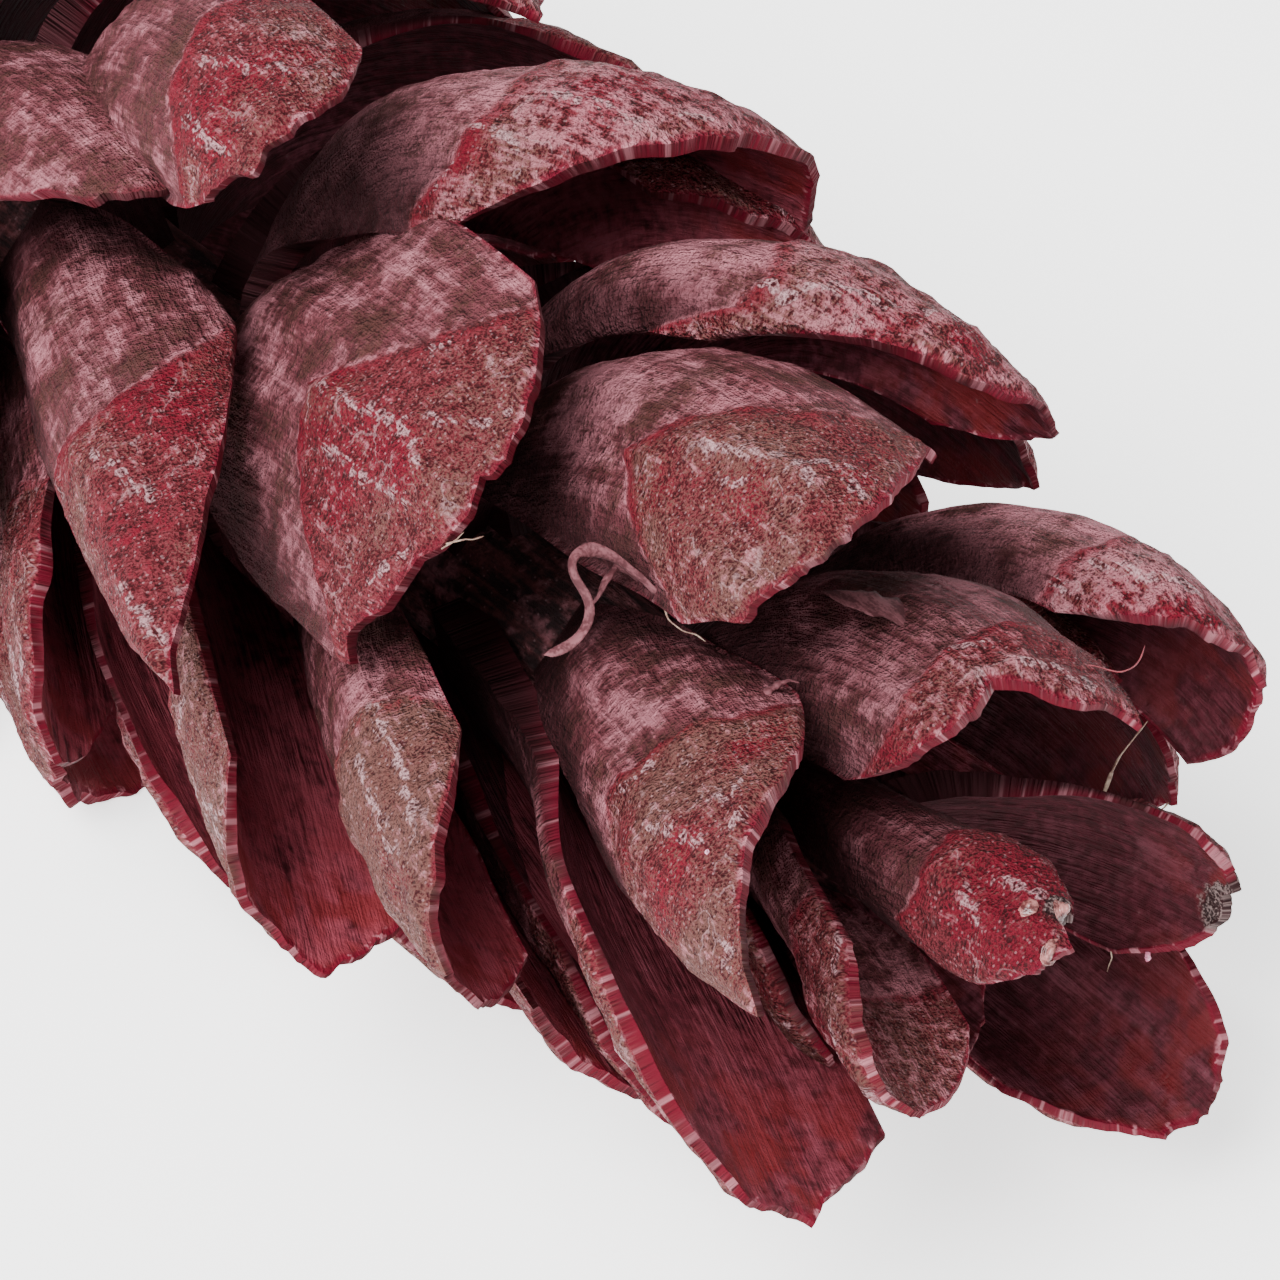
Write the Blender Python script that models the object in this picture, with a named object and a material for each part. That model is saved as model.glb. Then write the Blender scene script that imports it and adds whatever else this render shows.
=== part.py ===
"""An opened pine cone lying on its side. Its scales spring from the rachis in a golden-angle
spiral and are grown into one piece with it. The tip points along +X and the cone rests on the
flattened ends of its lowest scales, with the ground at Z = 0."""

import math

import bmesh
import bpy
import numpy as np
from mathutils import Matrix

MM = 0.001

# Spiral: scale 0 is half way along the upper front side, and numbers grow towards the tip
FIRST_SCALE = -42
LAST_SCALE = 22
GOLDEN_ANGLE = math.radians(137.508)
SPIRAL_START = math.radians(1.0)
PITCH = 1.6 * MM
CROWDED_BELOW = -20
CROWDING = 0.012 * MM
START_ELEVATION = math.radians(57.0)

# Axis: straight in the outer part, bent a little to the side and up towards the stalk
AXIS_HEIGHT = 19.0 * MM
BEND_FROM = -12.0 * MM
BEND_LENGTH = 55.0 * MM
BEND_SIDE = 3.0 * MM
BEND_UP = 1.2 * MM

# Growth along the cone: scale number, length, width, lean of the tip and of the root from the
# axis in degrees, and radius of the rachis
GROWTH = (
    (-42, 16.0 * MM, 11.5 * MM, 34, 108, 4.0 * MM),
    (-36, 21.0 * MM, 14.0 * MM, 28, 100, 4.4 * MM),
    (-26, 28.5 * MM, 15.6 * MM, 18, 88, 4.5 * MM),
    (-12, 34.0 * MM, 15.8 * MM, 9, 81, 4.5 * MM),
    (8, 34.0 * MM, 15.8 * MM, 7, 75, 4.0 * MM),
    (14, 31.5 * MM, 14.4 * MM, 5, 69, 3.6 * MM),
    (19, 26.0 * MM, 11.7 * MM, 2, 59, 3.2 * MM),
    (23, 19.0 * MM, 8.0 * MM, -4, 49, 2.7 * MM),
)

# Sides of the cone: how far the lean changes from the front to the back, and from the lower
# side to the upper side, in degrees, full over the outer part and weaker near the stalk
TIP_FRONT, TIP_UPPER = 12, -16
ROOT_FRONT, ROOT_UPPER = -11, 48
UPPER_LENGTH = 1.35 * MM
WEAK_SHARE = 0.35
WEAK_TO, FULL_FROM = -34, -10

# One scale: gutter angle in degrees, how far its corners fall back, and the reach of chance, with
# angles in degrees and lengths in millimetres
CUP = 54
CORNER = 0.30
CORNER_POWER = 1.9
LEAN_POWER = 1.5
ROOT_WIDTH = 0.3
WIDEST_AT = 0.62
CUP_FULL_AT = 0.4
ROLL_FULL_AT = 0.6
ROOT_DEPTH = 1.0 * MM
FAR_REACH = 1.2
CHANCE = {
    "turn": 3, "along": 0.3, "tip": 5, "root": 6, "length": 1.2, "yaw": 5,
    "roll": 10, "cup": 8, "left": 0.06, "right": 0.06, "width": 0.8,
}
CHANCE_SEED = 900

# Thickness along a scale, from its root to its margin
THICKNESS_AT = (0.0, 0.25, 0.55, 0.74, 0.88, 1.0)
THICKNESS = tuple(value * MM for value in (2.6, 1.8, 1.2, 1.6, 1.3, 0.75))
MARGIN_THICKNESS = 0.75 * MM
STEPS_ALONG = (0.0, 0.16, 0.36, 0.58, 0.79, 1.0)
STEPS_ACROSS = (-1.0, -0.5, 0.0, 0.5, 1.0)

# Rachis and stalk
STALK_END = -70.0 * MM
STALK_RADIUS = 2.9 * MM
STALK_SIDES = 10
STALK_UNTIL = -65.0 * MM
RACHIS_FROM = -59.0 * MM
NARROWS_FROM = 28.0 * MM
RACHIS_END = 41.0 * MM
BLUNT_SHARE = 0.2
RACHIS_RINGS = 18

# Mending of the joined surface: edges shorter than this are welded, flatter ones than this dissolved
WELD = 0.03 * MM
FLAT_ANGLE = math.radians(1.5)

# Ground and its cutter
CUTTER_SIZE = 0.2

# Scales that lie, reach or curl in their own way: angles in degrees, lengths in millimetres, the
# width of each half as a share, and the reach of the margin at the seven places of EDGE_AT
EDGE_AT = (-1.0, -0.7, -0.35, 0.0, 0.35, 0.7, 1.0)
EDGE_DEGREE = 4
OWN = {
    -30: dict(turn=0, tip=0, root=0, length=0),
    -27: dict(turn=0, tip=6, root=6, length=1.5),
    -16: dict(turn=1, tip=-8, root=-5, yaw=-3, roll=0),
    -14: dict(turn=8, tip=2, root=10, length=0.3, yaw=-5, roll=16, cup=62,
              edge=(0.82, 0.92, 0.90, 0.91, 0.90, 0.88, 0.73)),
    -13: dict(turn=5, along=0, tip=-3, root=-7, length=-0.6, width=-1.2, yaw=10, roll=9, cup=58,
              left_width=0.87, right_width=0.74, edge=(0.75, 0.91, 1.01, 0.99, 0.92, 0.81, 0.68)),
    -11: dict(turn=4, tip=3, root=2, length=-2, yaw=-13, roll=0),
    -8: dict(turn=12, tip=-4, root=4, length=4, yaw=16, roll=5, cup=64, right_width=0.6,
             edge=(0.58, 0.80, 0.94, 1.05, 1.12, 0.96, 0.68)),
    -6: dict(turn=1, along=-0.8, tip=4, root=6, length=-5, roll=-17),
    -5: dict(turn=-8, along=-0.8, tip=4, root=16, length=1.2, width=-1, yaw=16, roll=-34, cup=63,
             right_width=0.65, edge=(0.93, 0.99, 1.02, 1.00, 0.98, 0.90, 0.78)),
    -3: dict(turn=-3, tip=1, root=1, length=0.7, width=0.4, yaw=6, roll=-35, cup=59,
             edge=(0.87, 0.93, 0.96, 0.98, 1.00, 0.96, 0.89)),
    -2: dict(turn=-1, tip=-3, root=-20, roll=10, left=0.15, right=0.14),
    -1: dict(turn=8, tip=0, length=-2.4),
    0: dict(turn=9, tip=-4, root=2, length=1, width=2.6, yaw=9, roll=-19, cup=30,
            edge=(0.79, 0.92, 0.97, 0.99, 0.97, 0.90, 0.83)),
    2: dict(turn=-6, along=0.5, tip=-7, root=-7, length=1.7, yaw=14, roll=-26, cup=52,
            edge=(0.84, 0.87, 0.91, 0.96, 0.99, 0.87, 0.72)),
    3: dict(turn=-4, along=-2, tip=-6, root=15, length=3.5, width=3.2, yaw=-14, roll=14, cup=98,
            left_width=1.4, right_width=1.09, edge=(0.89, 0.94, 0.94, 0.91, 0.83, 0.74, 0.60)),
    5: dict(turn=-2, tip=-2, root=16, length=0.6, width=0.5, yaw=-2, roll=-14, cup=85,
            left_width=0.7, right_width=1.24, edge=(0.77, 0.87, 0.95, 1.00, 0.98, 0.95, 0.83)),
    6: dict(turn=2, tip=-4, root=-2, length=-0.8, roll=7, right=0.17),
    7: dict(length=-4),
    8: dict(turn=16, along=0.9, tip=-3, root=-2, length=2.1, width=-0.5, yaw=16, roll=-15, cup=62,
            edge=(0.82, 0.89, 0.97, 0.99, 0.97, 0.95, 0.83)),
    10: dict(turn=-1, tip=-2, root=-5, length=2.5, width=1.2, yaw=-4, roll=-39, cup=42,
             edge=(0.72, 0.83, 0.93, 0.99, 0.98, 0.93, 0.87)),
    11: dict(turn=-16, along=-2, tip=-8, root=17, length=2.3, width=0.3, yaw=-10, roll=6, cup=98,
             left_width=1.12, right_width=0.76, edge=(0.89, 1.01, 1.03, 1.01, 0.85, 0.77, 0.62)),
    12: dict(tip=-6, length=-8),
    13: dict(turn=7, along=1.4, tip=6, root=8, length=-0.5, width=-0.7, yaw=5, roll=4, cup=64,
             right_width=0.83, edge=(0.61, 0.79, 0.89, 0.96, 1.02, 1.07, 0.88)),
    14: dict(turn=1, tip=-8, root=-2, length=-1.4, yaw=-4, roll=-5, left=0.25, right=0.17),
    15: dict(tip=-8, length=-9),
    16: dict(turn=4, along=2, tip=2, root=-7, length=-2, width=2.5, yaw=16, roll=-10, cup=69,
             left_width=0.76, edge=(0.79, 0.99, 0.99, 0.94, 0.94, 0.87, 0.75)),
    17: dict(turn=-4, along=0.5, tip=0, root=-1, length=1.1, width=-1.5, yaw=-5, roll=8, cup=53,
             edge=(0.75, 0.88, 0.95, 1.00, 0.98, 0.92, 0.82)),
    18: dict(turn=2, along=-1.1, tip=3, root=-6, length=-2, width=1, yaw=0, roll=-45, cup=66,
             left_width=0.8, edge=(0.79, 0.87, 0.93, 0.96, 0.97, 0.88, 0.77)),
    19: dict(turn=0, along=-1, tip=-1, root=14, length=3.1, width=1.8, yaw=4, roll=-5, cup=98,
             left_width=1.18, right_width=0.9, edge=(0.94, 0.98, 0.98, 0.96, 0.93, 0.85, 0.73)),
    20: dict(length=-9),
    21: dict(turn=5, along=0.3, tip=2, root=-1, length=-0.5, width=-1.4, yaw=1, roll=3, cup=89,
             left_width=0.9, edge=(0.65, 0.83, 0.94, 1.01, 1.00, 0.90, 0.77)),
    22: dict(turn=-4, along=0.8, tip=4, root=6, length=-0.4, width=-0.5, yaw=16, roll=0, cup=54,
             left_width=1.07, right_width=0.86, edge=(0.68, 0.81, 0.88, 0.91, 0.91, 0.87, 0.80)),
}


def smooth(start, end, value):
    """Rise from 0 at the start to 1 at the end without a corner."""
    share = np.clip((value - start) / (end - start), 0, 1)
    return share * share * (3 - 2 * share)


def unit(vectors):
    return vectors / np.linalg.norm(vectors, axis=-1, keepdims=True)


def axis_point(x):
    """Point of the cone's axis at this X."""
    bend = (min(x - BEND_FROM, 0.0) / BEND_LENGTH) ** 2
    return np.array([x, BEND_SIDE * bend, AXIS_HEIGHT + BEND_UP * bend])


def axis_frame(x):
    """The axis direction here, and two directions across it: the spiral's start and its quarter turn."""
    along = unit(axis_point(x + 0.5 * MM) - axis_point(x - 0.5 * MM))
    start = np.array([0.0, -math.cos(START_ELEVATION), math.sin(START_ELEVATION)])
    start = unit(start - (start @ along) * along)
    return along, start, np.cross(start, along)


def growth(number, column):
    stages = np.array(GROWTH)
    return float(np.interp(number, stages[:, 0], stages[:, column]))


def root_position(number):
    """Where a scale springs from the axis: evenly spaced, and closer and closer near the stalk."""
    return number * PITCH + CROWDING * min(number - CROWDED_BELOW, 0) ** 2


def scale_form(number):
    """All measures of one scale: the rule of growth, its side of the cone, chance and its own form."""
    rng = np.random.default_rng(CHANCE_SEED + number)
    own = {name: reach * rng.uniform(-1, 1) for name, reach in CHANCE.items()}
    own["cup"] += CUP
    own["left"] += CORNER
    own["right"] += CORNER
    own.update(OWN.get(number, {}))
    places = np.array(EDGE_AT)
    corner = np.where(places < 0, own["left"], own["right"])
    edge = own.get("edge", 1 - corner * np.abs(places) ** CORNER_POWER)
    turn = SPIRAL_START + number * GOLDEN_ANGLE
    side = WEAK_SHARE + (1 - WEAK_SHARE) * smooth(WEAK_TO, FULL_FROM, number)
    tip = growth(number, 3) + side * (TIP_FRONT * math.cos(turn) + TIP_UPPER * math.sin(turn))
    root = growth(number, 4) + side * (ROOT_FRONT * math.cos(turn) + ROOT_UPPER * math.sin(turn))
    return {
        "x": root_position(number) + own["along"] * MM,
        "turn": turn + math.radians(own["turn"]),
        "length": growth(number, 1) + UPPER_LENGTH * math.sin(turn) + own["length"] * MM,
        "width": growth(number, 2) + own["width"] * MM,
        "tip": math.radians(tip + own["tip"]),
        "root": math.radians(root + own["root"]),
        "yaw": math.radians(own["yaw"]),
        "roll": math.radians(own["roll"]),
        "cup": math.radians(own["cup"]),
        "left_width": own.get("left_width", 1),
        "right_width": own.get("right_width", 1),
        "edge": np.polynomial.polynomial.polyfit(EDGE_AT, edge, EDGE_DEGREE),
        "core": growth(number, 5),
    }


def midline(form, steps=100):
    """Points, cross directions and outward normals down the middle of a scale, as far as its
    longest point can reach."""
    along, start, quarter = axis_frame(form["x"])
    radial = math.cos(form["turn"]) * start + math.sin(form["turn"]) * quarter
    around = np.cross(along, radial)
    reach = np.linspace(0, FAR_REACH, steps + 1)[:, None]
    unlevel = np.maximum(1 - reach, 0) ** LEAN_POWER
    lean = form["tip"] + (form["root"] - form["tip"]) * unlevel
    yaw = form["yaw"] * reach
    forward = np.cos(lean) * along + np.sin(lean) * radial
    forward = np.cos(yaw) * forward + np.sin(yaw) * around
    travel = np.cumsum((forward[1:] + forward[:-1]) / 2, axis=0) * form["length"] * FAR_REACH / steps
    points = np.vstack([np.zeros(3), travel])
    points += axis_point(form["x"]) + radial * (form["core"] - ROOT_DEPTH)
    outward = -np.sin(lean) * along + np.cos(lean) * radial
    across = unit(np.cross(forward, outward))
    outward = unit(np.cross(across, forward))
    roll = form["roll"] * smooth(0, ROLL_FULL_AT, reach)
    across, outward = (np.cos(roll) * across + np.sin(roll) * outward,
                       np.cos(roll) * outward - np.sin(roll) * across)
    return points, across, outward


def scale_faces(number):
    """Outer and inner grid of one scale. Its middle is carried down the midline, bent across into
    a gutter, and half the thickness is added on either side."""
    form = scale_form(number)
    points, across, outward = midline(form)
    u = np.array(STEPS_ALONG)[:, None]
    t = np.array(STEPS_ACROSS)[None, :]
    reach = u * np.polynomial.polynomial.polyval(t, form["edge"])

    def carried(vectors):
        steps = np.linspace(0, FAR_REACH, len(vectors))
        return np.stack([np.interp(reach, steps, vectors[:, axis]) for axis in range(3)], -1)

    half = form["width"] / 2 * (ROOT_WIDTH + (1 - ROOT_WIDTH) * smooth(0, WIDEST_AT, reach))
    half = half * np.where(t < 0, form["left_width"], form["right_width"])
    bend = form["cup"] * smooth(0, CUP_FULL_AT, reach) + 1e-4
    side = (np.sin(bend * t) / bend * half)[..., None]
    sink = ((1 - np.cos(bend * t)) / bend * half)[..., None]
    middle = carried(points) + side * carried(across) - sink * carried(outward)
    angle = (bend * t)[..., None]
    normal = unit(np.cos(angle) * carried(outward) + np.sin(angle) * carried(across))
    thick = np.interp(reach, THICKNESS_AT, THICKNESS)
    thick += (MARGIN_THICKNESS - thick) * smooth(0.3, 1, u) * np.abs(t) ** 3
    thick = thick[..., None] / 2
    return middle + thick * normal, middle - thick * normal


def grid_triangles(rows, columns, first, outer):
    """Triangles of a grid of vertices, with the same diagonals on the outer and the inner face."""
    faces = []
    for i in range(rows - 1):
        for j in range(columns - 1):
            a = first + i * columns + j
            b, c, d = a + 1, a + columns + 1, a + columns
            faces += [(a, b, c), (a, c, d)] if outer else [(a, c, b), (a, d, c)]
    return faces


def rim_triangles(rows, columns, inner):
    """Triangles of the edge that joins the outer grid to the inner one all round."""
    loop = list(range(columns))
    loop += [i * columns + columns - 1 for i in range(1, rows)]
    loop += [(rows - 1) * columns + j for j in range(columns - 2, -1, -1)]
    loop += [i * columns for i in range(rows - 2, 0, -1)]
    faces = []
    for a, b in zip(loop, loop[1:] + loop[:1]):
        faces += [(b, a, a + inner), (b, a + inner, b + inner)]
    return faces


def new_object(name, vertices, faces, collection, material):
    mesh = bpy.data.meshes.new(name)
    mesh.from_pydata([tuple(point) for point in vertices], [], faces)
    mesh.materials.append(material)
    mesh.update()
    made = bpy.data.objects.new(name, mesh)
    collection.objects.link(made)
    return made


def make_scale(number, collection, material):
    outer, inner = scale_faces(number)
    rows, columns = outer.shape[:2]
    count = rows * columns
    vertices = np.vstack([outer.reshape(-1, 3), inner.reshape(-1, 3)])
    faces = grid_triangles(rows, columns, 0, True)
    faces += grid_triangles(rows, columns, count, False)
    faces += rim_triangles(rows, columns, count)
    return new_object(f"scale_{number - FIRST_SCALE:02d}", vertices, faces, collection, material)


def rachis_radius(x):
    """Stalk radius below the first scale, then the rachis, closing to a blunt point at the tip."""
    rachis = growth(x / PITCH, 5)
    start = smooth(STALK_UNTIL, RACHIS_FROM, x)
    nearing = max((x - NARROWS_FROM) / (RACHIS_END - NARROWS_FROM), 0)
    end = math.sqrt(max(1 - nearing ** 2, BLUNT_SHARE ** 2))
    return (STALK_RADIUS + (rachis - STALK_RADIUS) * start) * end


def make_rachis(collection, material):
    """A loft of rings from the broken stalk to the tip."""
    turns = np.linspace(0, 2 * math.pi, STALK_SIDES, endpoint=False)[:, None]
    rings = []
    for x in np.linspace(STALK_END, RACHIS_END, RACHIS_RINGS):
        _, start, quarter = axis_frame(x)
        ring = np.cos(turns) * start + np.sin(turns) * quarter
        rings.append(axis_point(x) + rachis_radius(x) * ring)
    faces = []
    for i in range(RACHIS_RINGS - 1):
        for j in range(STALK_SIDES):
            a, b = i * STALK_SIDES + j, i * STALK_SIDES + (j + 1) % STALK_SIDES
            faces += [(a, a + STALK_SIDES, b), (b, a + STALK_SIDES, b + STALK_SIDES)]
    faces.append(tuple(range(STALK_SIDES)))
    last_ring = (RACHIS_RINGS - 1) * STALK_SIDES
    faces.append(tuple(reversed(range(last_ring, last_ring + STALK_SIDES))))
    return new_object("pine_cone", np.vstack(rings), faces, collection, material)


def apply_boolean(target, operation, solver, collection=None, cutter=None):
    """Join or cut the target and keep the result as its mesh."""
    modifier = target.modifiers.new(operation.lower(), "BOOLEAN")
    modifier.operation = operation
    modifier.solver = solver
    if collection is not None:
        modifier.operand_type = "COLLECTION"
        modifier.collection = collection
    else:
        modifier.object = cutter
    graph = bpy.context.evaluated_depsgraph_get()
    result = bpy.data.meshes.new_from_object(target.evaluated_get(graph))
    target.modifiers.remove(modifier)
    target.data = result


def remove_collection(collection):
    for piece in list(collection.objects):
        bpy.data.objects.remove(piece, do_unlink=True)
    bpy.data.collections.remove(collection)


def keep_outer_shell(target):
    """Remove closed pockets that scales shut in between them."""
    mesh = bmesh.new()
    mesh.from_mesh(target.data)
    unseen = set(mesh.faces)
    shells = []
    while unseen:
        stack = [unseen.pop()]
        shell = []
        while stack:
            face = stack.pop()
            shell.append(face)
            for edge in face.edges:
                for other in edge.link_faces:
                    if other in unseen:
                        unseen.remove(other)
                        stack.append(other)
        shells.append(shell)
    shells.sort(key=len)
    for shell in shells[:-1]:
        bmesh.ops.delete(mesh, geom=shell, context="FACES")
    mesh.to_mesh(target.data)
    mesh.free()


def merge_slivers(target):
    """Weld the shortest edges where scales cross and make flat neighbours one face."""
    mesh = bmesh.new()
    mesh.from_mesh(target.data)
    bmesh.ops.remove_doubles(mesh, verts=mesh.verts, dist=WELD)
    bmesh.ops.dissolve_limit(mesh, angle_limit=FLAT_ANGLE, verts=mesh.verts, edges=mesh.edges)
    mesh.to_mesh(target.data)
    mesh.free()


def scale_material():
    material = bpy.data.materials.new("dyed_scale")
    material.use_nodes = True
    shader = material.node_tree.nodes["Principled BSDF"]
    shader.inputs["Base Color"].default_value = (0.21, 0.035, 0.045, 1.0)
    shader.inputs["Roughness"].default_value = 0.72
    shader.inputs["Metallic"].default_value = 0.0
    return material


def new_collection(name):
    collection = bpy.data.collections.new(name)
    bpy.context.scene.collection.children.link(collection)
    return collection


def flatten_underside(cone):
    """Wear the lowest scale ends flat on the ground, so that the cone lies still."""
    cutters = new_collection("cutters")
    bpy.ops.mesh.primitive_cube_add(size=CUTTER_SIZE, location=(0, 0, -CUTTER_SIZE / 2))
    ground = bpy.context.active_object
    ground.name = "ground"
    for owner in list(ground.users_collection):
        owner.objects.unlink(ground)
    cutters.objects.link(ground)
    ground.hide_render = True
    ground.display_type = "WIRE"
    apply_boolean(cone, "DIFFERENCE", "MANIFOLD", cutter=ground)
    remove_collection(cutters)


def centre_over_origin(cone):
    """Move the cone level until the origin lies under the middle of its box."""
    corners = np.array([point.co for point in cone.data.vertices])
    middle = (corners.min(axis=0) + corners.max(axis=0)) / 2
    cone.data.transform(Matrix.Translation((-middle[0], -middle[1], 0)))


def build():
    for old in list(bpy.data.objects):
        bpy.data.objects.remove(old, do_unlink=True)
    material = scale_material()
    collection = new_collection("pine_cone_parts")
    scales = new_collection("scales")
    cone = make_rachis(collection, material)
    for number in range(FIRST_SCALE, LAST_SCALE + 1):
        make_scale(number, scales, material)
    apply_boolean(cone, "UNION", "MANIFOLD", collection=scales)
    remove_collection(scales)
    keep_outer_shell(cone)
    merge_slivers(cone)
    flatten_underside(cone)
    centre_over_origin(cone)


build()
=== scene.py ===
"""A dyed, opened pine cone lying on its side on a pale floor, seen from above its tip."""

import math

import bpy
import numpy as np
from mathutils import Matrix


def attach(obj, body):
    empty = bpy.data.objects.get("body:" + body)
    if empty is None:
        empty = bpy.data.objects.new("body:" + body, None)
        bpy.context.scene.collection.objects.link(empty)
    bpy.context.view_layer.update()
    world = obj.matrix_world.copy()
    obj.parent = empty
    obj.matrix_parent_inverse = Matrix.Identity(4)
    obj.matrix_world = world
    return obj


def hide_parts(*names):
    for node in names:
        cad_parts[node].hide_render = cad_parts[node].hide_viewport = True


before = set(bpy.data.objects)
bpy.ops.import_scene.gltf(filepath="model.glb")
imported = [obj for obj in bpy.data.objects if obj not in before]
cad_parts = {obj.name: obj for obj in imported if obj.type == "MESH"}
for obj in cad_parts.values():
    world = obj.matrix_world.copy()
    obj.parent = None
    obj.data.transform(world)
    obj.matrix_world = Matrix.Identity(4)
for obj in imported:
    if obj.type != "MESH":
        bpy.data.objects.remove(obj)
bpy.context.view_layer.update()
MM = 0.001

# The camera stands close above the tip's side and looks down along the cone, so that the tip end
# fills the frame and the stalk end runs out of it at the upper left.
CAMERA_AZIMUTH = math.radians(46)
CAMERA_ELEVATION = math.radians(47)
CAMERA_DISTANCE = 335 * MM
VIEW_WIDTH = 56.1 * MM
SENSOR_WIDTH = 36.0
MIDDLE_OF_CONE = np.array([-8.340, 0.592, 0.0]) * MM
AIM = np.array([22.0, 2.3, 18.9]) * MM - MIDDLE_OF_CONE

camera_back = np.array([
    math.sin(CAMERA_AZIMUTH) * math.cos(CAMERA_ELEVATION),
    -math.cos(CAMERA_AZIMUTH) * math.cos(CAMERA_ELEVATION),
    math.sin(CAMERA_ELEVATION),
])
camera_data = bpy.data.cameras.new("camera")
camera_data.sensor_width = SENSOR_WIDTH
camera_data.lens = SENSOR_WIDTH * CAMERA_DISTANCE / VIEW_WIDTH
camera_data.clip_start, camera_data.clip_end = 0.01, 20
camera = bpy.data.objects.new("camera", camera_data)
camera.location = AIM + camera_back * CAMERA_DISTANCE
camera.rotation_euler = (math.pi / 2 - CAMERA_ELEVATION, 0, CAMERA_AZIMUTH)
bpy.context.scene.collection.objects.link(camera)
bpy.context.scene.camera = camera

# The floor is a plain pale sheet, and the light is a large soft one from the upper left with a
# weaker one opposite, as in a studio shot on white.
FLOOR_SIZE = 6.0
FLOOR_COLOUR = (0.93, 0.93, 0.93, 1)


def add_floor():
    """Square sheet at Z = 0 that glows a little, so that it stays pale under the soft light."""
    bpy.ops.mesh.primitive_plane_add(size=FLOOR_SIZE, location=(0, 0, 0))
    floor = bpy.context.active_object
    floor.name = "floor"
    material = bpy.data.materials.new("pale_floor")
    material.use_nodes = True
    shader = material.node_tree.nodes["Principled BSDF"]
    shader.inputs["Base Color"].default_value = FLOOR_COLOUR
    shader.inputs["Roughness"].default_value = 0.9
    shader.inputs["Emission Color"].default_value = (1, 1, 1, 1)
    shader.inputs["Emission Strength"].default_value = 1.6
    floor.data.materials.append(material)


def add_soft_light(name, azimuth, elevation, distance, size, power):
    """A square lamp aimed at the cone, placed by its direction round it."""
    data = bpy.data.lights.new(name, "AREA")
    data.size = size
    data.energy = power
    lamp = bpy.data.objects.new(name, data)
    a, e = math.radians(azimuth), math.radians(elevation)
    back = np.array([math.sin(a) * math.cos(e), -math.cos(a) * math.cos(e), math.sin(e)])
    lamp.location = AIM + back * distance
    lamp.rotation_euler = (math.pi / 2 - e, 0, a)
    bpy.context.scene.collection.objects.link(lamp)


add_floor()
add_soft_light("key_light", 5, 58, 0.9, 0.5, 22)
add_soft_light("fill_light", -10, 14, 0.9, 0.8, 4)
world = bpy.data.worlds.new("studio")
world.use_nodes = True
world.node_tree.nodes["Background"].inputs["Color"].default_value = (1, 1, 1, 1)
world.node_tree.nodes["Background"].inputs["Strength"].default_value = 0.65
bpy.context.scene.world = world

# The scales spring from the rachis in a golden-angle spiral, number 0 half way along the upper
# front side and numbers growing towards the tip. Their growth follows the cone's own stages.
FIRST_SCALE = -42
LAST_SCALE = 22
GOLDEN_ANGLE = math.radians(137.508)
SPIRAL_START = math.radians(1.0)
START_ELEVATION = math.radians(57.0)
PITCH = 1.6 * MM
CROWDED_BELOW = -20
CROWDING = 0.012 * MM
AXIS_HEIGHT = 19.0 * MM
BEND_FROM = -12.0 * MM
BEND_LENGTH = 55.0 * MM
BEND_SIDE = 3.0 * MM
BEND_UP = 1.2 * MM

# Scale number, length, width, lean of the tip and of the root in degrees, radius of the rachis
GROWTH = np.array((
    (-42, 16.0 * MM, 11.5 * MM, 34, 108, 4.0 * MM),
    (-36, 21.0 * MM, 14.0 * MM, 28, 100, 4.4 * MM),
    (-26, 28.5 * MM, 15.6 * MM, 18, 88, 4.5 * MM),
    (-12, 34.0 * MM, 15.8 * MM, 9, 81, 4.5 * MM),
    (8, 34.0 * MM, 15.8 * MM, 7, 75, 4.0 * MM),
    (14, 31.5 * MM, 14.4 * MM, 5, 69, 3.6 * MM),
    (19, 26.0 * MM, 11.7 * MM, 2, 59, 3.2 * MM),
    (23, 19.0 * MM, 8.0 * MM, -4, 49, 2.7 * MM),
))
TIP_FRONT, TIP_UPPER = 12, -16
ROOT_FRONT, ROOT_UPPER = -11, 48
UPPER_LENGTH = 1.35 * MM
WEAK_SHARE = 0.35
WEAK_TO, FULL_FROM = -34, -10
CUP = 54
CORNER = 0.30
CORNER_POWER = 1.9
LEAN_POWER = 1.5
ROOT_WIDTH = 0.3
WIDEST_AT = 0.62
CUP_FULL_AT = 0.4
ROLL_FULL_AT = 0.6
ROOT_DEPTH = 1.0 * MM
FAR_REACH = 1.2
CHANCE = {
    "turn": 3, "along": 0.3, "tip": 5, "root": 6, "length": 1.2, "yaw": 5,
    "roll": 10, "cup": 8, "left": 0.06, "right": 0.06, "width": 0.8,
}
CHANCE_SEED = 900

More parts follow.
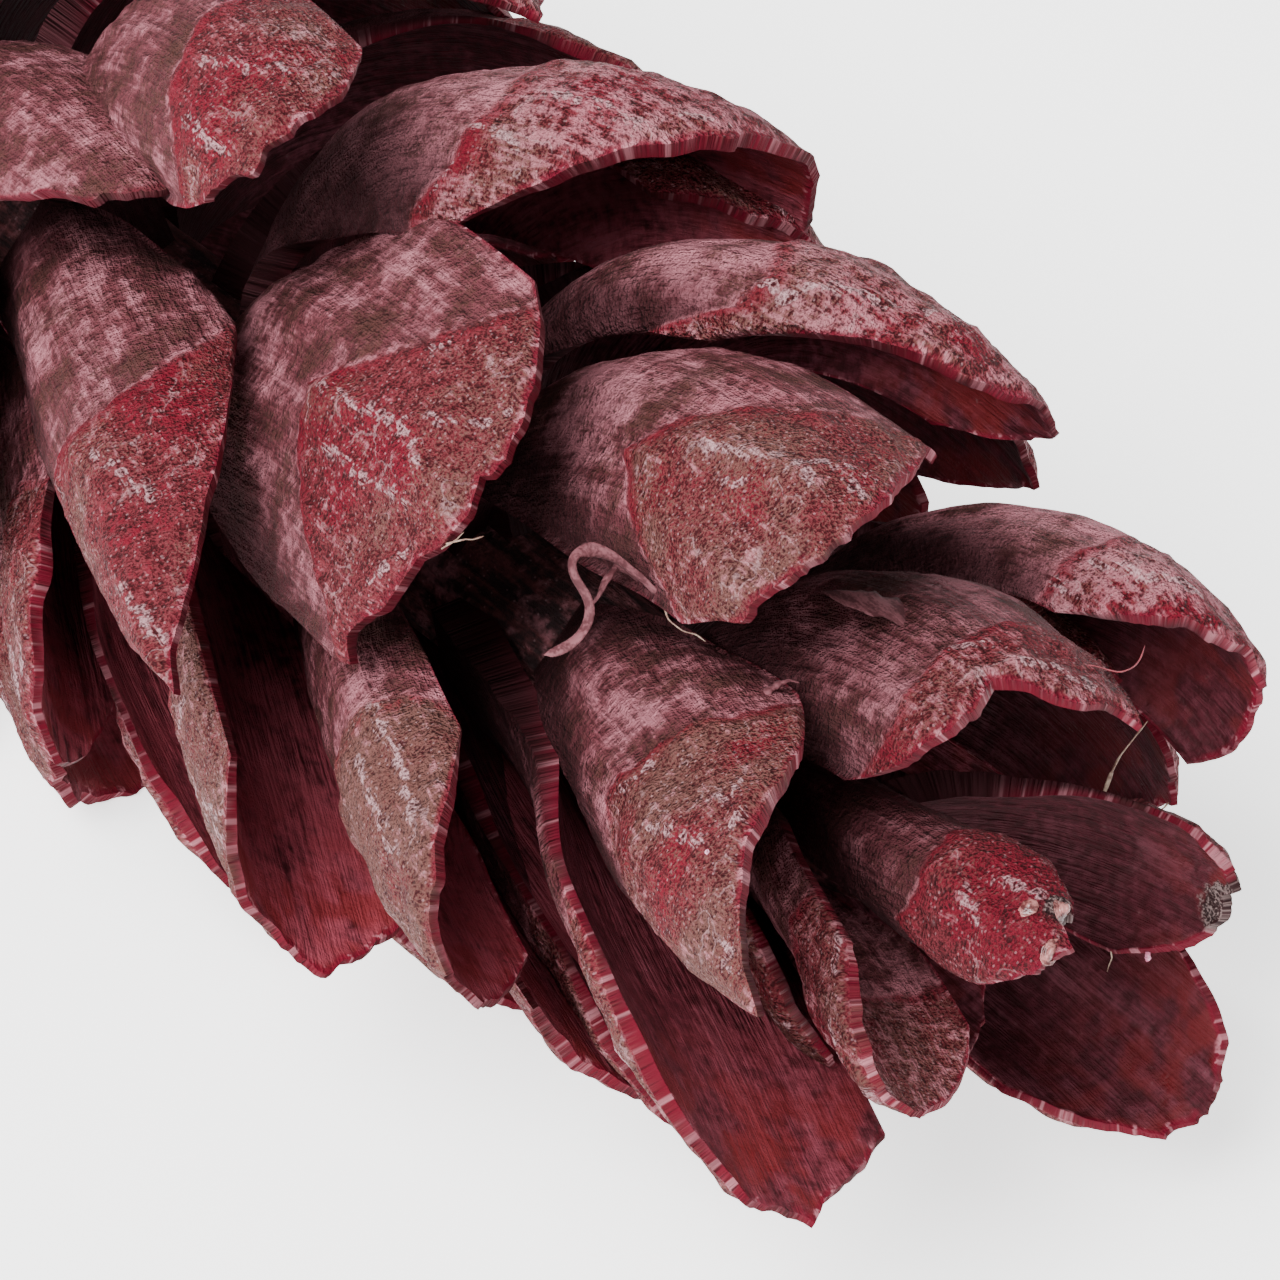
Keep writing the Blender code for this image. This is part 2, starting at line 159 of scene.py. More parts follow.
# Scales that lie, reach or curl in their own way: angles in degrees, lengths in millimetres, the
# width of each half as a share, and the reach of the margin at the seven places of EDGE_AT
EDGE_AT = (-1.0, -0.7, -0.35, 0.0, 0.35, 0.7, 1.0)
EDGE_DEGREE = 4
OWN = {
    -30: dict(turn=0, tip=0, root=0, length=0),
    -27: dict(turn=0, tip=6, root=6, length=1.5),
    -16: dict(turn=1, tip=-8, root=-5, yaw=-3, roll=0),
    -14: dict(turn=8, tip=2, root=10, length=0.3, yaw=-5, roll=16, cup=62,
              edge=(0.82, 0.92, 0.90, 0.91, 0.90, 0.88, 0.73)),
    -13: dict(turn=5, along=0, tip=-3, root=-7, length=-0.6, width=-1.2, yaw=10, roll=9, cup=58,
              left_width=0.87, right_width=0.74, edge=(0.75, 0.91, 1.01, 0.99, 0.92, 0.81, 0.68)),
    -11: dict(turn=4, tip=3, root=2, length=-2, yaw=-13, roll=0),
    -8: dict(turn=12, tip=-4, root=4, length=4, yaw=16, roll=5, cup=64, right_width=0.6,
             edge=(0.58, 0.80, 0.94, 1.05, 1.12, 0.96, 0.68)),
    -6: dict(turn=1, along=-0.8, tip=4, root=6, length=-5, roll=-17),
    -5: dict(turn=-8, along=-0.8, tip=4, root=16, length=1.2, width=-1, yaw=16, roll=-34, cup=63,
             right_width=0.65, edge=(0.93, 0.99, 1.02, 1.00, 0.98, 0.90, 0.78)),
    -3: dict(turn=-3, tip=1, root=1, length=0.7, width=0.4, yaw=6, roll=-35, cup=59,
             edge=(0.87, 0.93, 0.96, 0.98, 1.00, 0.96, 0.89)),
    -2: dict(turn=-1, tip=-3, root=-20, roll=10, left=0.15, right=0.14),
    -1: dict(turn=8, tip=0, length=-2.4),
    0: dict(turn=9, tip=-4, root=2, length=1, width=2.6, yaw=9, roll=-19, cup=30,
            edge=(0.79, 0.92, 0.97, 0.99, 0.97, 0.90, 0.83)),
    2: dict(turn=-6, along=0.5, tip=-7, root=-7, length=1.7, yaw=14, roll=-26, cup=52,
            edge=(0.84, 0.87, 0.91, 0.96, 0.99, 0.87, 0.72)),
    3: dict(turn=-4, along=-2, tip=-6, root=15, length=3.5, width=3.2, yaw=-14, roll=14, cup=98,
            left_width=1.4, right_width=1.09, edge=(0.89, 0.94, 0.94, 0.91, 0.83, 0.74, 0.60)),
    5: dict(turn=-2, tip=-2, root=16, length=0.6, width=0.5, yaw=-2, roll=-14, cup=85,
            left_width=0.7, right_width=1.24, edge=(0.77, 0.87, 0.95, 1.00, 0.98, 0.95, 0.83)),
    6: dict(turn=2, tip=-4, root=-2, length=-0.8, roll=7, right=0.17),
    7: dict(length=-4),
    8: dict(turn=16, along=0.9, tip=-3, root=-2, length=2.1, width=-0.5, yaw=16, roll=-15, cup=62,
            edge=(0.82, 0.89, 0.97, 0.99, 0.97, 0.95, 0.83)),
    10: dict(turn=-1, tip=-2, root=-5, length=2.5, width=1.2, yaw=-4, roll=-39, cup=42,
             edge=(0.72, 0.83, 0.93, 0.99, 0.98, 0.93, 0.87)),
    11: dict(turn=-16, along=-2, tip=-8, root=17, length=2.3, width=0.3, yaw=-10, roll=6, cup=98,
             left_width=1.12, right_width=0.76, edge=(0.89, 1.01, 1.03, 1.01, 0.85, 0.77, 0.62)),
    12: dict(tip=-6, length=-8),
    13: dict(turn=7, along=1.4, tip=6, root=8, length=-0.5, width=-0.7, yaw=5, roll=4, cup=64,
             right_width=0.83, edge=(0.61, 0.79, 0.89, 0.96, 1.02, 1.07, 0.88)),
    14: dict(turn=1, tip=-8, root=-2, length=-1.4, yaw=-4, roll=-5, left=0.25, right=0.17),
    15: dict(tip=-8, length=-9),
    16: dict(turn=4, along=2, tip=2, root=-7, length=-2, width=2.5, yaw=16, roll=-10, cup=69,
             left_width=0.76, edge=(0.79, 0.99, 0.99, 0.94, 0.94, 0.87, 0.75)),
    17: dict(turn=-4, along=0.5, tip=0, root=-1, length=1.1, width=-1.5, yaw=-5, roll=8, cup=53,
             edge=(0.75, 0.88, 0.95, 1.00, 0.98, 0.92, 0.82)),
    18: dict(turn=2, along=-1.1, tip=3, root=-6, length=-2, width=1, yaw=0, roll=-45, cup=66,
             left_width=0.8, edge=(0.79, 0.87, 0.93, 0.96, 0.97, 0.88, 0.77)),
    19: dict(turn=0, along=-1, tip=-1, root=14, length=3.1, width=1.8, yaw=4, roll=-5, cup=98,
             left_width=1.18, right_width=0.9, edge=(0.94, 0.98, 0.98, 0.96, 0.93, 0.85, 0.73)),
    20: dict(length=-9),
    21: dict(turn=5, along=0.3, tip=2, root=-1, length=-0.5, width=-1.4, yaw=1, roll=3, cup=89,
             left_width=0.9, edge=(0.65, 0.83, 0.94, 1.01, 1.00, 0.90, 0.77)),
    22: dict(turn=-4, along=0.8, tip=4, root=6, length=-0.4, width=-0.5, yaw=16, roll=0, cup=54,
             left_width=1.07, right_width=0.86, edge=(0.68, 0.81, 0.88, 0.91, 0.91, 0.87, 0.80)),
}


def smooth(start, end, value):
    """Rise from 0 at the start to 1 at the end without a corner."""
    share = np.clip((value - start) / (end - start), 0, 1)
    return share * share * (3 - 2 * share)


def unit(vectors):
    """Vectors divided by their lengths."""
    return vectors / np.linalg.norm(vectors, axis=-1, keepdims=True)


def axis_point(x):
    """Point of the cone's axis at this X: level in the outer part, bending off as a square."""
    bend = (min(x - BEND_FROM, 0.0) / BEND_LENGTH) ** 2
    return np.array([x, BEND_SIDE * bend, AXIS_HEIGHT + BEND_UP * bend]) - MIDDLE_OF_CONE


def axis_frame(x):
    """The axis direction here, and two directions across it: the spiral's start and its quarter."""
    along = unit(axis_point(x + 0.5 * MM) - axis_point(x - 0.5 * MM))
    start = np.array([0.0, -math.cos(START_ELEVATION), math.sin(START_ELEVATION)])
    start = unit(start - (start @ along) * along)
    return along, start, np.cross(start, along)


def growth(number, column):
    """Value of a scale in one column of the growth stages, on a straight line between two."""
    return float(np.interp(number, GROWTH[:, 0], GROWTH[:, column]))


def scale_form(number):
    """All measures of one scale: growth, its side of the cone, chance and its own form."""
    rng = np.random.default_rng(CHANCE_SEED + number)
    own = {name: reach * rng.uniform(-1, 1) for name, reach in CHANCE.items()}
    own["cup"] += CUP
    own["left"] += CORNER
    own["right"] += CORNER
    own.update(OWN.get(number, {}))
    places = np.array(EDGE_AT)
    corner = np.where(places < 0, own["left"], own["right"])
    edge = own.get("edge", 1 - corner * np.abs(places) ** CORNER_POWER)
    turn = SPIRAL_START + number * GOLDEN_ANGLE
    side = WEAK_SHARE + (1 - WEAK_SHARE) * smooth(WEAK_TO, FULL_FROM, number)
    tip = growth(number, 3) + side * (TIP_FRONT * math.cos(turn) + TIP_UPPER * math.sin(turn))
    root = growth(number, 4) + side * (ROOT_FRONT * math.cos(turn) + ROOT_UPPER * math.sin(turn))
    crowded = CROWDING * min(number - CROWDED_BELOW, 0) ** 2
    return {
        "x": number * PITCH + crowded + own["along"] * MM,
        "turn": turn + math.radians(own["turn"]),
        "length": growth(number, 1) + UPPER_LENGTH * math.sin(turn) + own["length"] * MM,
        "width": growth(number, 2) + own["width"] * MM,
        "tip": math.radians(tip + own["tip"]),
        "root": math.radians(root + own["root"]),
        "yaw": math.radians(own["yaw"]),
        "roll": math.radians(own["roll"]),
        "cup": math.radians(own["cup"]),
        "left_width": own.get("left_width", 1),
        "right_width": own.get("right_width", 1),
        "edge": np.polynomial.polynomial.polyfit(EDGE_AT, edge, EDGE_DEGREE),
        "core": growth(number, 5),
    }


def midline(form, steps=100):
    """Points, cross directions and outward normals down the middle of a scale. The midline leans
    from the root's angle to the tip's, and its points add up its directions step by step."""
    along, start, quarter = axis_frame(form["x"])
    radial = math.cos(form["turn"]) * start + math.sin(form["turn"]) * quarter
    around = np.cross(along, radial)
    reach = np.linspace(0, FAR_REACH, steps + 1)[:, None]
    unlevel = np.maximum(1 - reach, 0) ** LEAN_POWER
    lean = form["tip"] + (form["root"] - form["tip"]) * unlevel
    yaw = form["yaw"] * reach
    forward = np.cos(lean) * along + np.sin(lean) * radial
    forward = np.cos(yaw) * forward + np.sin(yaw) * around
    travel = np.cumsum((forward[1:] + forward[:-1]) / 2, axis=0) * form["length"] * FAR_REACH / steps
    points = np.vstack([np.zeros(3), travel])
    points += axis_point(form["x"]) + radial * (form["core"] - ROOT_DEPTH)
    outward = -np.sin(lean) * along + np.cos(lean) * radial
    across = unit(np.cross(forward, outward))
    outward = unit(np.cross(across, forward))
    roll = form["roll"] * smooth(0, ROLL_FULL_AT, reach)
    across, outward = (np.cos(roll) * across + np.sin(roll) * outward,
                       np.cos(roll) * outward - np.sin(roll) * across)
    return points, across, outward


def lattice_noise(seed, a, b):
    """Smooth noise between -1 and 1: random heights on a whole-number lattice, blended between
    its four nearest points with an S-curve."""
    heights = np.random.default_rng(seed).uniform(-1, 1, (64, 64))
    i, j = np.floor(a).astype(int), np.floor(b).astype(int)
    p, q = smooth(0, 1, a - i), smooth(0, 1, b - j)
    i0, i1, j0, j1 = i % 64, (i + 1) % 64, j % 64, (j + 1) % 64
    low = heights[i0, j0] * (1 - q) + heights[i0, j1] * q
    high = heights[i1, j0] * (1 - q) + heights[i1, j1] * q
    return low * (1 - p) + high * p


# A scale is a thin woody gutter. Its outer face is ribbed lengthwise and ends in a thicker shield
# with a low keel and ragged edges, its inner face is smooth and finely grained, and its root sits
# in the rachis. The scales seen closest have the finer grids.
FINE_GRID = (92, 60)
PLAIN_GRID = (52, 34)
FINE_SCALES = (-16, -14, -11, -9, -8, -6, -5, -3, -2, -1, 0, 2, 3, 5, 6, 8, 10, 11, 13, 14, 16, 17, 18,
               19, 21, 22)
THICKNESS_AT = (0.0, 0.25, 0.55, 0.74, 0.88, 1.0)
THICKNESS = tuple(value * MM for value in (2.4, 1.5, 0.8, 1.0, 0.7, 0.32))
MARGIN_THICKNESS = 0.30 * MM
GROUND_FROM = 0.5 * MM
SHIELD_STEP = 0.2 * MM
SHIELD_AT = 0.645
KEEL_WIDTH = 3.4
STREAK_REACH = 4.0
# Shares of painted shade on the two flanks of a scale's outer face, which lower its reach towards the
# painted near black of the root
NEAR_FLANK_SHADE = 0.6
FAR_FLANK_SHADE = 0.25
GRAIN_STEP = (41.3, 17.9)

# Where the shield begins, at the seven places of EDGE_AT
SHIELD_START = {
    -13: (1.3, 1.3, 1.3, 1.3, 1.3, 1.3, 1.3),
    -8: (0.59, 0.65, 0.69, 0.685, 0.66, 0.66, 0.68),
    -5: (0.72, 0.73, 0.75, 0.79, 0.85, 0.88, 0.90),
    0: (0.82, 0.79, 0.71, 0.59, 0.64, 0.77, 0.86),
    3: (0.66, 0.66, 0.65, 0.64, 0.63, 0.61, 0.53),
    5: (0.70, 0.65, 0.625, 0.62, 0.62, 0.64, 0.70),
    8: (0.88, 0.82, 0.76, 0.67, 0.59, 0.68, 0.82),
    11: (0.66, 0.65, 0.64, 0.64, 0.67, 0.66, 0.50),
    13: (0.63, 0.66, 0.64, 0.61, 0.565, 0.62, 0.76),
    16: (0.80, 0.79, 0.78, 0.77, 0.79, 0.81, 0.76),
    19: (0.70, 0.70, 0.70, 0.70, 0.70, 0.68, 0.68),
}

# Keel of the shield: its place across at the shield's start and at the margin, and its height in mm
KEELS = {
    -8: (0.0, 0.3, 0.5),
    0: (-0.05, -0.06, 0.6),
    8: (0.22, -0.12, 0.5),
    13: (0.3, 0.5, 0.3),
    16: (0.2, 0.0, 0.25),
}

# Small beaks and nicks of the margin: place across, half width, and how far they reach
BEAKS = {
    -8: ((0.33, 0.16, 0.05),),
    0: ((0.93, 0.13, 0.055), (-0.2, 0.05, -0.012)),
    3: ((0.12, 0.08, 0.02),),
    5: ((0.2, 0.07, 0.02), (0.55, 0.06, 0.015)),
    8: ((-0.95, 0.1, 0.03), (0.75, 0.12, 0.02)),
    13: ((0.66, 0.2, 0.07),),
    16: ((0.1, 0.2, -0.05), (-0.7, 0.12, 0.05)),
    21: ((-0.15, 0.2, -0.03),),
}

# Whitish streaks of dried resin, as points along each: reach and place across
STREAKS = {
    -8: (((0.77, -0.02), (0.83, -0.09), (0.88, -0.14)), ((0.94, 0.32), (1.03, 0.23), (1.07, 0.17))),
    -5: (((0.81, -0.25), (0.9, -0.43), (0.96, -0.72)), ((0.85, 0.08), (0.97, -0.02))),
    0: (((0.64, -0.06), (0.71, -0.05), (0.78, -0.1), (0.82, -0.14), (0.86, -0.12), (0.9, -0.05)),
        ((0.82, -0.14), (0.87, -0.26), (0.92, -0.38), (0.93, -0.51)),
        ((0.71, 0.16), (0.76, 0.14), (0.81, 0.16), (0.86, 0.12), (0.9, 0.11)),
        ((0.77, -0.46), (0.78, -0.51)), ((0.9, 0.51), (0.93, 0.3))),
    3: (((0.69, 0.34), (0.76, 0.31), (0.81, 0.33)), ((0.83, 0.18), (0.88, 0.06)),
        ((0.62, 0.52), (0.7, 0.59)), ((0.6, 0.8), (0.62, 0.68))),
    5: (((0.64, -0.54), (0.77, -0.54), (0.87, -0.4)), ((0.7, -0.28), (0.89, -0.15))),
    8: (((0.74, 0.14), (0.78, 0.11), (0.81, 0.07), (0.85, -0.01), (0.89, -0.05), (0.91, -0.03)),
        ((0.88, -0.14), (0.9, -0.22), (0.93, -0.29)), ((0.92, -0.17), (0.95, -0.19)),
        ((0.81, 0.23), (0.83, 0.2))),
    11: (((0.73, 0.43), (0.78, 0.28), (0.83, 0.17)), ((0.65, 0.48), (0.73, 0.54)),
         ((0.86, 0.04), (0.92, -0.24))),
    13: (((0.75, 0.27), (0.79, 0.18), (0.83, 0.14), (0.87, 0.07)),
         ((0.82, -0.09), (0.84, -0.23), (0.82, -0.33)), ((0.62, 0.26), (0.65, 0.1), (0.64, -0.05)),
         ((0.89, -0.09), (0.88, -0.2)), ((1.0, 0.44), (1.05, 0.56))),
    16: (((0.78, 0.21), (0.82, -0.04)), ((0.88, -0.03), (0.92, -0.27), (0.97, -0.39)),
         ((0.87, 0.12), (0.91, 0.17))),
    18: (((0.77, -1.0), (0.8, -0.8)), ((0.84, -0.44), (0.89, -0.05)), ((0.93, -0.1), (0.95, 0.04))),
    19: (((0.61, 0.77), (0.72, 0.85)), ((0.73, 0.6), (0.82, 0.47)), ((0.8, 0.49), (0.87, 0.23))),
    21: (((0.75, 0.17), (0.84, 0.32)), ((0.8, -0.1), (0.89, -0.16))),
    22: (((0.59, 0.43), (0.67, 0.16)), ((0.72, 0.21), (0.87, 0.54))),
}

# Bright crimson patches of the dye: reach, place across and radius in mm
CRIMSON = {
    -8: ((0.70, 0.12, 2.2), (0.72, -0.5, 1.8), (0.9, -0.75, 1.5)),
    -5: ((0.9, -0.3, 2.2), (0.92, -0.75, 2.0)),
    0: ((0.62, 0.0, 1.7), (0.69, 0.02, 1.3), (0.8, -0.02, 1.0), (0.87, 0.0, 1.2), (0.66, -0.3, 1.2),
        (0.78, 0.33, 1.4)),
    3: ((0.72, 0.15, 2.4), (0.6, 0.65, 1.6)),
    8: ((0.66, 0.45, 1.6), (0.72, 0.5, 1.8), (0.8, 0.02, 1.6), (0.86, 0.2, 1.4), (0.93, -0.45, 2.2)),
    11: ((0.8, 0.1, 2.2), (0.9, -0.1, 2.0)),
    13: ((0.72, -0.75, 2.4), (0.78, -0.45, 1.8), (0.84, 0.2, 1.0), (0.72, 0.5, 1.0)),
    16: ((0.95, 0.3, 1.6), (0.9, 0.75, 1.8)),
    19: ((0.85, 0.35, 2.2), (0.78, 0.6, 1.6)),
    21: ((0.95, 0.2, 1.6), (0.85, -0.3, 1.5), (0.8, 0.3, 1.5)),
}

# How dusty each shield is, how far whitish bloom covers it, and patches of bloom and of
# blackened resin: reach, place across and radius in mm
DUSTY = {-8: 0.25, -5: 0.3, -3: 0.75, 0: 0.3, 3: 0.35, 5: 0.85, 8: 0.6, 11: 0.5, 13: 0.6, 16: 0.4,
         18: 0.5, 19: 0.25, 21: 0.15, 22: 0.2}
BLOOM = {-13: 0.1, -8: 0.0, 0: 0.05, 3: 0.75, 5: 0.1, 8: 0.15, 11: 0.8, 13: 0.15, 16: 0.3, 18: 0.4,
         19: 0.9, 21: 0.05}
BLOOM_SPOTS = {
    -8: ((0.42, 0.0, 2.5),), 0: ((0.25, -0.30, 3.5),), 3: ((0.76, 0.35, 2.0),),
    8: ((0.48, 0.10, 2.6), (0.42, -0.25, 3.0), (0.60, -0.2, 2.0)), 11: ((0.55, 0.2, 1.5),),
    13: ((0.50, -0.2, 1.5),),
}
BLACKENED = {21: ((0.93, -0.2, 0.7),), 22: ((0.94, 0.03, 1.4), (0.88, -0.1, 0.9))}

# Scales painted darker where others shade them, a painted shade, as shares for the outer face, mostly
# its body, and for the inner face
SHADED_SCALES = {6: (0, 0.35), 14: (0, 0.5), 16: (0.4, 0), 17: (0, 0.35), 19: (0, 0.55), 21: (0.5, 0.5),
            22: (0.2, 0.45)}

# How far the inner face has weathered like the outer one, and how far painted light turns its streaks a
# lighter wine red
WEATHERED_INSIDE = {18: 0.8}
PAINTED_LIGHT_INSIDE = {-16: 0.8, -14: 0.8, -11: 0.9, -9: 0.5, -6: 0.9, -3: 0.9, -1: 0.6, 2: 0.7, 3: 0.4,
               5: 0.9, 10: 0.35}

# Scales whose painted shade at the root starts further down on the body, as a share of their length
ROOT_SHADE_LOWERED = {-8: 0.05, 0: 0.3, 3: 0.05, 8: 0.2, 13: 0.05}


def streak_distance(lines, across_mm, along_mm, place):
    """Distance in millimetres from every grid point to the nearest of the lines, each a row of
    straight pieces between its points, with place giving a point's position in millimetres."""
    nearest = np.full(across_mm.shape, STREAK_REACH)
    for line in lines:
        corners = [place(*corner) for corner in line]
        for (x0, y0), (x1, y1) in zip(corners, corners[1:]):
            run = (x1 - x0) ** 2 + (y1 - y0) ** 2 + 1e-9
            share = np.clip(((across_mm - x0) * (x1 - x0) + (along_mm - y0) * (y1 - y0)) / run, 0, 1)
            gap = np.hypot(across_mm - x0 - share * (x1 - x0), along_mm - y0 - share * (y1 - y0))
            nearest = np.minimum(nearest, gap)
    return nearest


def chance_streaks(rng):
    """Three to five short crooked streaks on the shield of a scale that has none of its own."""
    lines = []
    for _ in range(rng.integers(3, 6)):
        point = np.array([rng.uniform(0.7, 0.93), rng.uniform(-0.65, 0.65)])
        line = [tuple(point)]
        for _ in range(rng.integers(1, 4)):
            point = point + np.array([rng.uniform(-0.01, 0.06), rng.uniform(-0.16, 0.16)])
            line.append(tuple(point))
        lines.append(line)
    return lines


def scale_surfaces(number):
    """Outer and inner grid of one scale with its marks, its painted shade and its painted light. The
    middle surface is carried down the midline and bent across into a gutter, half the thickness goes on
    either side, and ribs, lumps, the shield's step and keel and curled edges are added along the
    normal."""
    form = scale_form(number)
    seed = 5000 + 37 * number
    rng = np.random.default_rng(seed)
    rows, columns = FINE_GRID if number in FINE_SCALES else PLAIN_GRID
    points, across, outward = midline(form)
    u = (np.linspace(0, 1, rows + 1) ** 0.9)[:, None]
    t = np.linspace(-1, 1, columns + 1)[None, :]
    size = form["length"] / (34 * MM)
    edge_reach = np.polynomial.polynomial.polyval(t, form["edge"])
    for place, width, far in BEAKS.get(number, ((rng.uniform(-0.4, 0.4), 0.12, 0.025),)):
        edge_reach = edge_reach + far * np.maximum(1 - np.abs(t - place) / width, 0) ** 1.3
    ragged = 0.55 * lattice_noise(seed, t * 4 + 20, 0 * t)
    ragged = ragged + 0.30 * lattice_noise(seed + 1, t * 12 + 40, 0 * t)
    ragged = ragged + 0.25 * lattice_noise(seed + 8, t * 27 + 40, 0 * t)
    reach = u * edge_reach * (1 + 0.012 * ragged * u ** 4 / size - 0.006 * u ** 4)

    def carried(vectors):
        """Rows of the midline, read off at the reach of every grid point."""
        steps = np.linspace(0, FAR_REACH, len(vectors))
        return np.stack([np.interp(reach, steps, vectors[:, axis]) for axis in range(3)], -1)

    def half_width(s, t):
        """Half the width at this reach, narrower at the root and with a share for either side."""
        wide = form["width"] / 2 * (ROOT_WIDTH + (1 - ROOT_WIDTH) * smooth(0, WIDEST_AT, s))
        return wide * np.where(t < 0, form["left_width"], form["right_width"])

    def place_mm(s, t):
        """Distance in mm across the scale and along it, for a reach and a place across."""
        return float(t * half_width(s, t)) / MM, s * form["length"] / MM

    half = half_width(reach, t)
    bend = form["cup"] * smooth(0, CUP_FULL_AT, reach) + 1e-4
    side = (np.sin(bend * t) / bend * half)[..., None]
    sink = ((1 - np.cos(bend * t)) / bend * half)[..., None]
    middle = carried(points) + side * carried(across) - sink * carried(outward)
    angle = (bend * t)[..., None]
    normal = unit(np.cos(angle) * carried(outward) + np.sin(angle) * carried(across))
    thick = np.interp(reach, THICKNESS_AT, THICKNESS)
    thick += (MARGIN_THICKNESS - thick) * smooth(0.3, 1, u) * np.abs(t) ** 3
    thick = np.maximum(thick * min(1, 0.4 + 0.6 * size), MARGIN_THICKNESS)

    length_mm = reach * form["length"] / MM
    width_mm = t * half / MM
    start = SHIELD_START.get(number, SHIELD_AT + rng.uniform(-0.05, 0.06, len(EDGE_AT)))
    start = np.interp(t, EDGE_AT, start) + 0.008 * lattice_noise(seed + 2, t * 9 + 9, 0 * t)
    beyond = reach - start
    shield = smooth(-0.008, 0.02, beyond)
    edge = np.maximum(smooth(0.972, 1, u + 0 * t),
                      smooth(0.965, 1, np.abs(t) + 0 * u) * smooth(0.25, 0.5, u))
    keel = KEELS.get(number, (rng.uniform(-0.2, 0.2), rng.uniform(-0.25, 0.25), rng.uniform(0.1, 0.35)))
    keel_at = keel[0] + (keel[1] - keel[0]) * np.clip(beyond / 0.35, 0, 1)
    crest = np.maximum(1 - np.abs(t - keel_at) * half / MM / KEEL_WIDTH, 0) * smooth(0, 0.1, beyond)
    crest = keel[2] * crest * smooth(0, 0.12, edge_reach - reach)

    ribs = lattice_noise(seed + 3, width_mm * 1.7 + 30, length_mm * 0.12) + 0.6 * lattice_noise(
        seed + 4, width_mm * 3.6 + 30, length_mm * 0.2)
    folds = lattice_noise(seed + 9, width_mm * 0.42 + 30, length_mm * 0.06 + 7)
    lumps = lattice_noise(seed + 5, width_mm * 0.45 + 30, length_mm * 0.4)
    lumps += 0.5 * lattice_noise(seed + 6, width_mm * 1.1 + 30, length_mm * 1.0)
    lumps += 0.3 * lattice_noise(seed + 10, width_mm * 2.6 + 30, length_mm * 2.2)
    streaks = STREAKS.get(number) or chance_streaks(rng)
    gap = streak_distance(streaks, width_mm + 0 * u, length_mm, place_mm)
    fade = smooth(0.08, 0.3, u)
    relief = (0.08 * ribs + 0.24 * folds + 0.08 * lumps) * (1 - shield)
    relief = relief + (0.22 * lumps + 0.06 * ribs) * shield
    relief = relief + SHIELD_STEP / MM * shield + crest + 0.09 * np.exp(-(gap / 0.3) ** 2) * shield
    relief = relief * MM * fade * (1 - edge)
    inner_relief = (0.05 * ribs + 0.08 * folds) * MM * fade * (1 - edge)
    curl = 0.22 * MM * edge * lattice_noise(seed + 7, t * 7 + 50, u * 3) * size
    outer = middle + (thick / 2 + relief + curl)[..., None] * normal
    inner = middle - (thick / 2 + inner_relief - curl)[..., None] * normal
    for face in (outer, inner):
        low = np.minimum(face[..., 2], GROUND_FROM)
        face[..., 2] = np.maximum(face[..., 2], GROUND_FROM) + GROUND_FROM * (
            np.exp((low - GROUND_FROM) / GROUND_FROM) - 1)

    def spots(places):
        """Sum of round spots, each exp(-(distance / radius)^2) from its place on the scale."""
        total = 0 * width_mm
        for s, across_at, radius in places:
            x, y = place_mm(s, across_at)
            total = total + np.exp(-((width_mm - x) ** 2 + (length_mm - y) ** 2) / radius ** 2)
        return total

    crimson = 0.3 + 0.35 * lattice_noise(seed + 11, width_mm * 0.3 + 30, length_mm * 0.3)
    crimson = crimson + 0.75 * spots(CRIMSON.get(number, ((0.78, rng.uniform(-0.5, 0.5), 2.0),)))
    bloom = 0.3 * lattice_noise(seed + 13, width_mm * 0.3 + 30, length_mm * 0.25)
    bloom = BLOOM.get(number, 0.15) + bloom + 0.8 * spots(BLOOM_SPOTS.get(number, ()))
    black = spots(BLACKENED.get(number, ()))
    dusty = 0.3 * lattice_noise(seed + 12, width_mm * 0.35 + 30, length_mm * 0.3)
    dusty = DUSTY.get(number, 0.45) + dusty
    # Painted shade: the outer face's reach is lowered on the body's flanks and raised on some bodies,
    # and the shader paints near black where it is low
    shaded = NEAR_FLANK_SHADE * np.maximum(t, 0) ** 1.3 + FAR_FLANK_SHADE * np.maximum(-t, 0) ** 1.6
    reach_with_shade = reach + ROOT_SHADE_LOWERED.get(number, 0) * smooth(0.6, 0.1, t) - shaded * (1 - shield)
    inside = 1 - WEATHERED_INSIDE.get(number, 0) + 0 * reach
    marks_and_shade = [np.stack([shield + 0 * reach, edge + 0 * reach, face, np.clip(deep, 0, 2)], -1)
             for face, deep in ((0 * reach, reach_with_shade), (inside, reach))]
    tones = np.stack([crimson, dusty, gap / STREAK_REACH, np.clip(0.5 + beyond / 0.4, 0, 1)], -1)
    # Painted shade on scales that others shade: a share for each face
    shade_outer, shade_inner = SHADED_SCALES.get(number, (0, 0))
    wear_and_shade = np.stack([bloom, black, shade_outer + 0 * reach, shade_inner + 0 * reach], -1)
    grain = np.stack([width_mm + 0 * reach, length_mm], -1)
    grain = grain + np.array(GRAIN_STEP) * (number - FIRST_SCALE)
    tones, wear_and_shade = np.clip(tones, 0, 1), np.clip(wear_and_shade, 0, 1)
    # Painted light: the inner face carries its share of lighter wine red in place of the outer face's
    # painted shade
    inner_wear_light_and_shade = wear_and_shade.copy()
    inner_wear_light_and_shade[..., 2] = PAINTED_LIGHT_INSIDE.get(number, 0)
    return outer, inner, {"marks_and_shade": marks_and_shade, "tones": (tones, tones), "wear_and_shade": (wear_and_shade, inner_wear_light_and_shade)}, grain


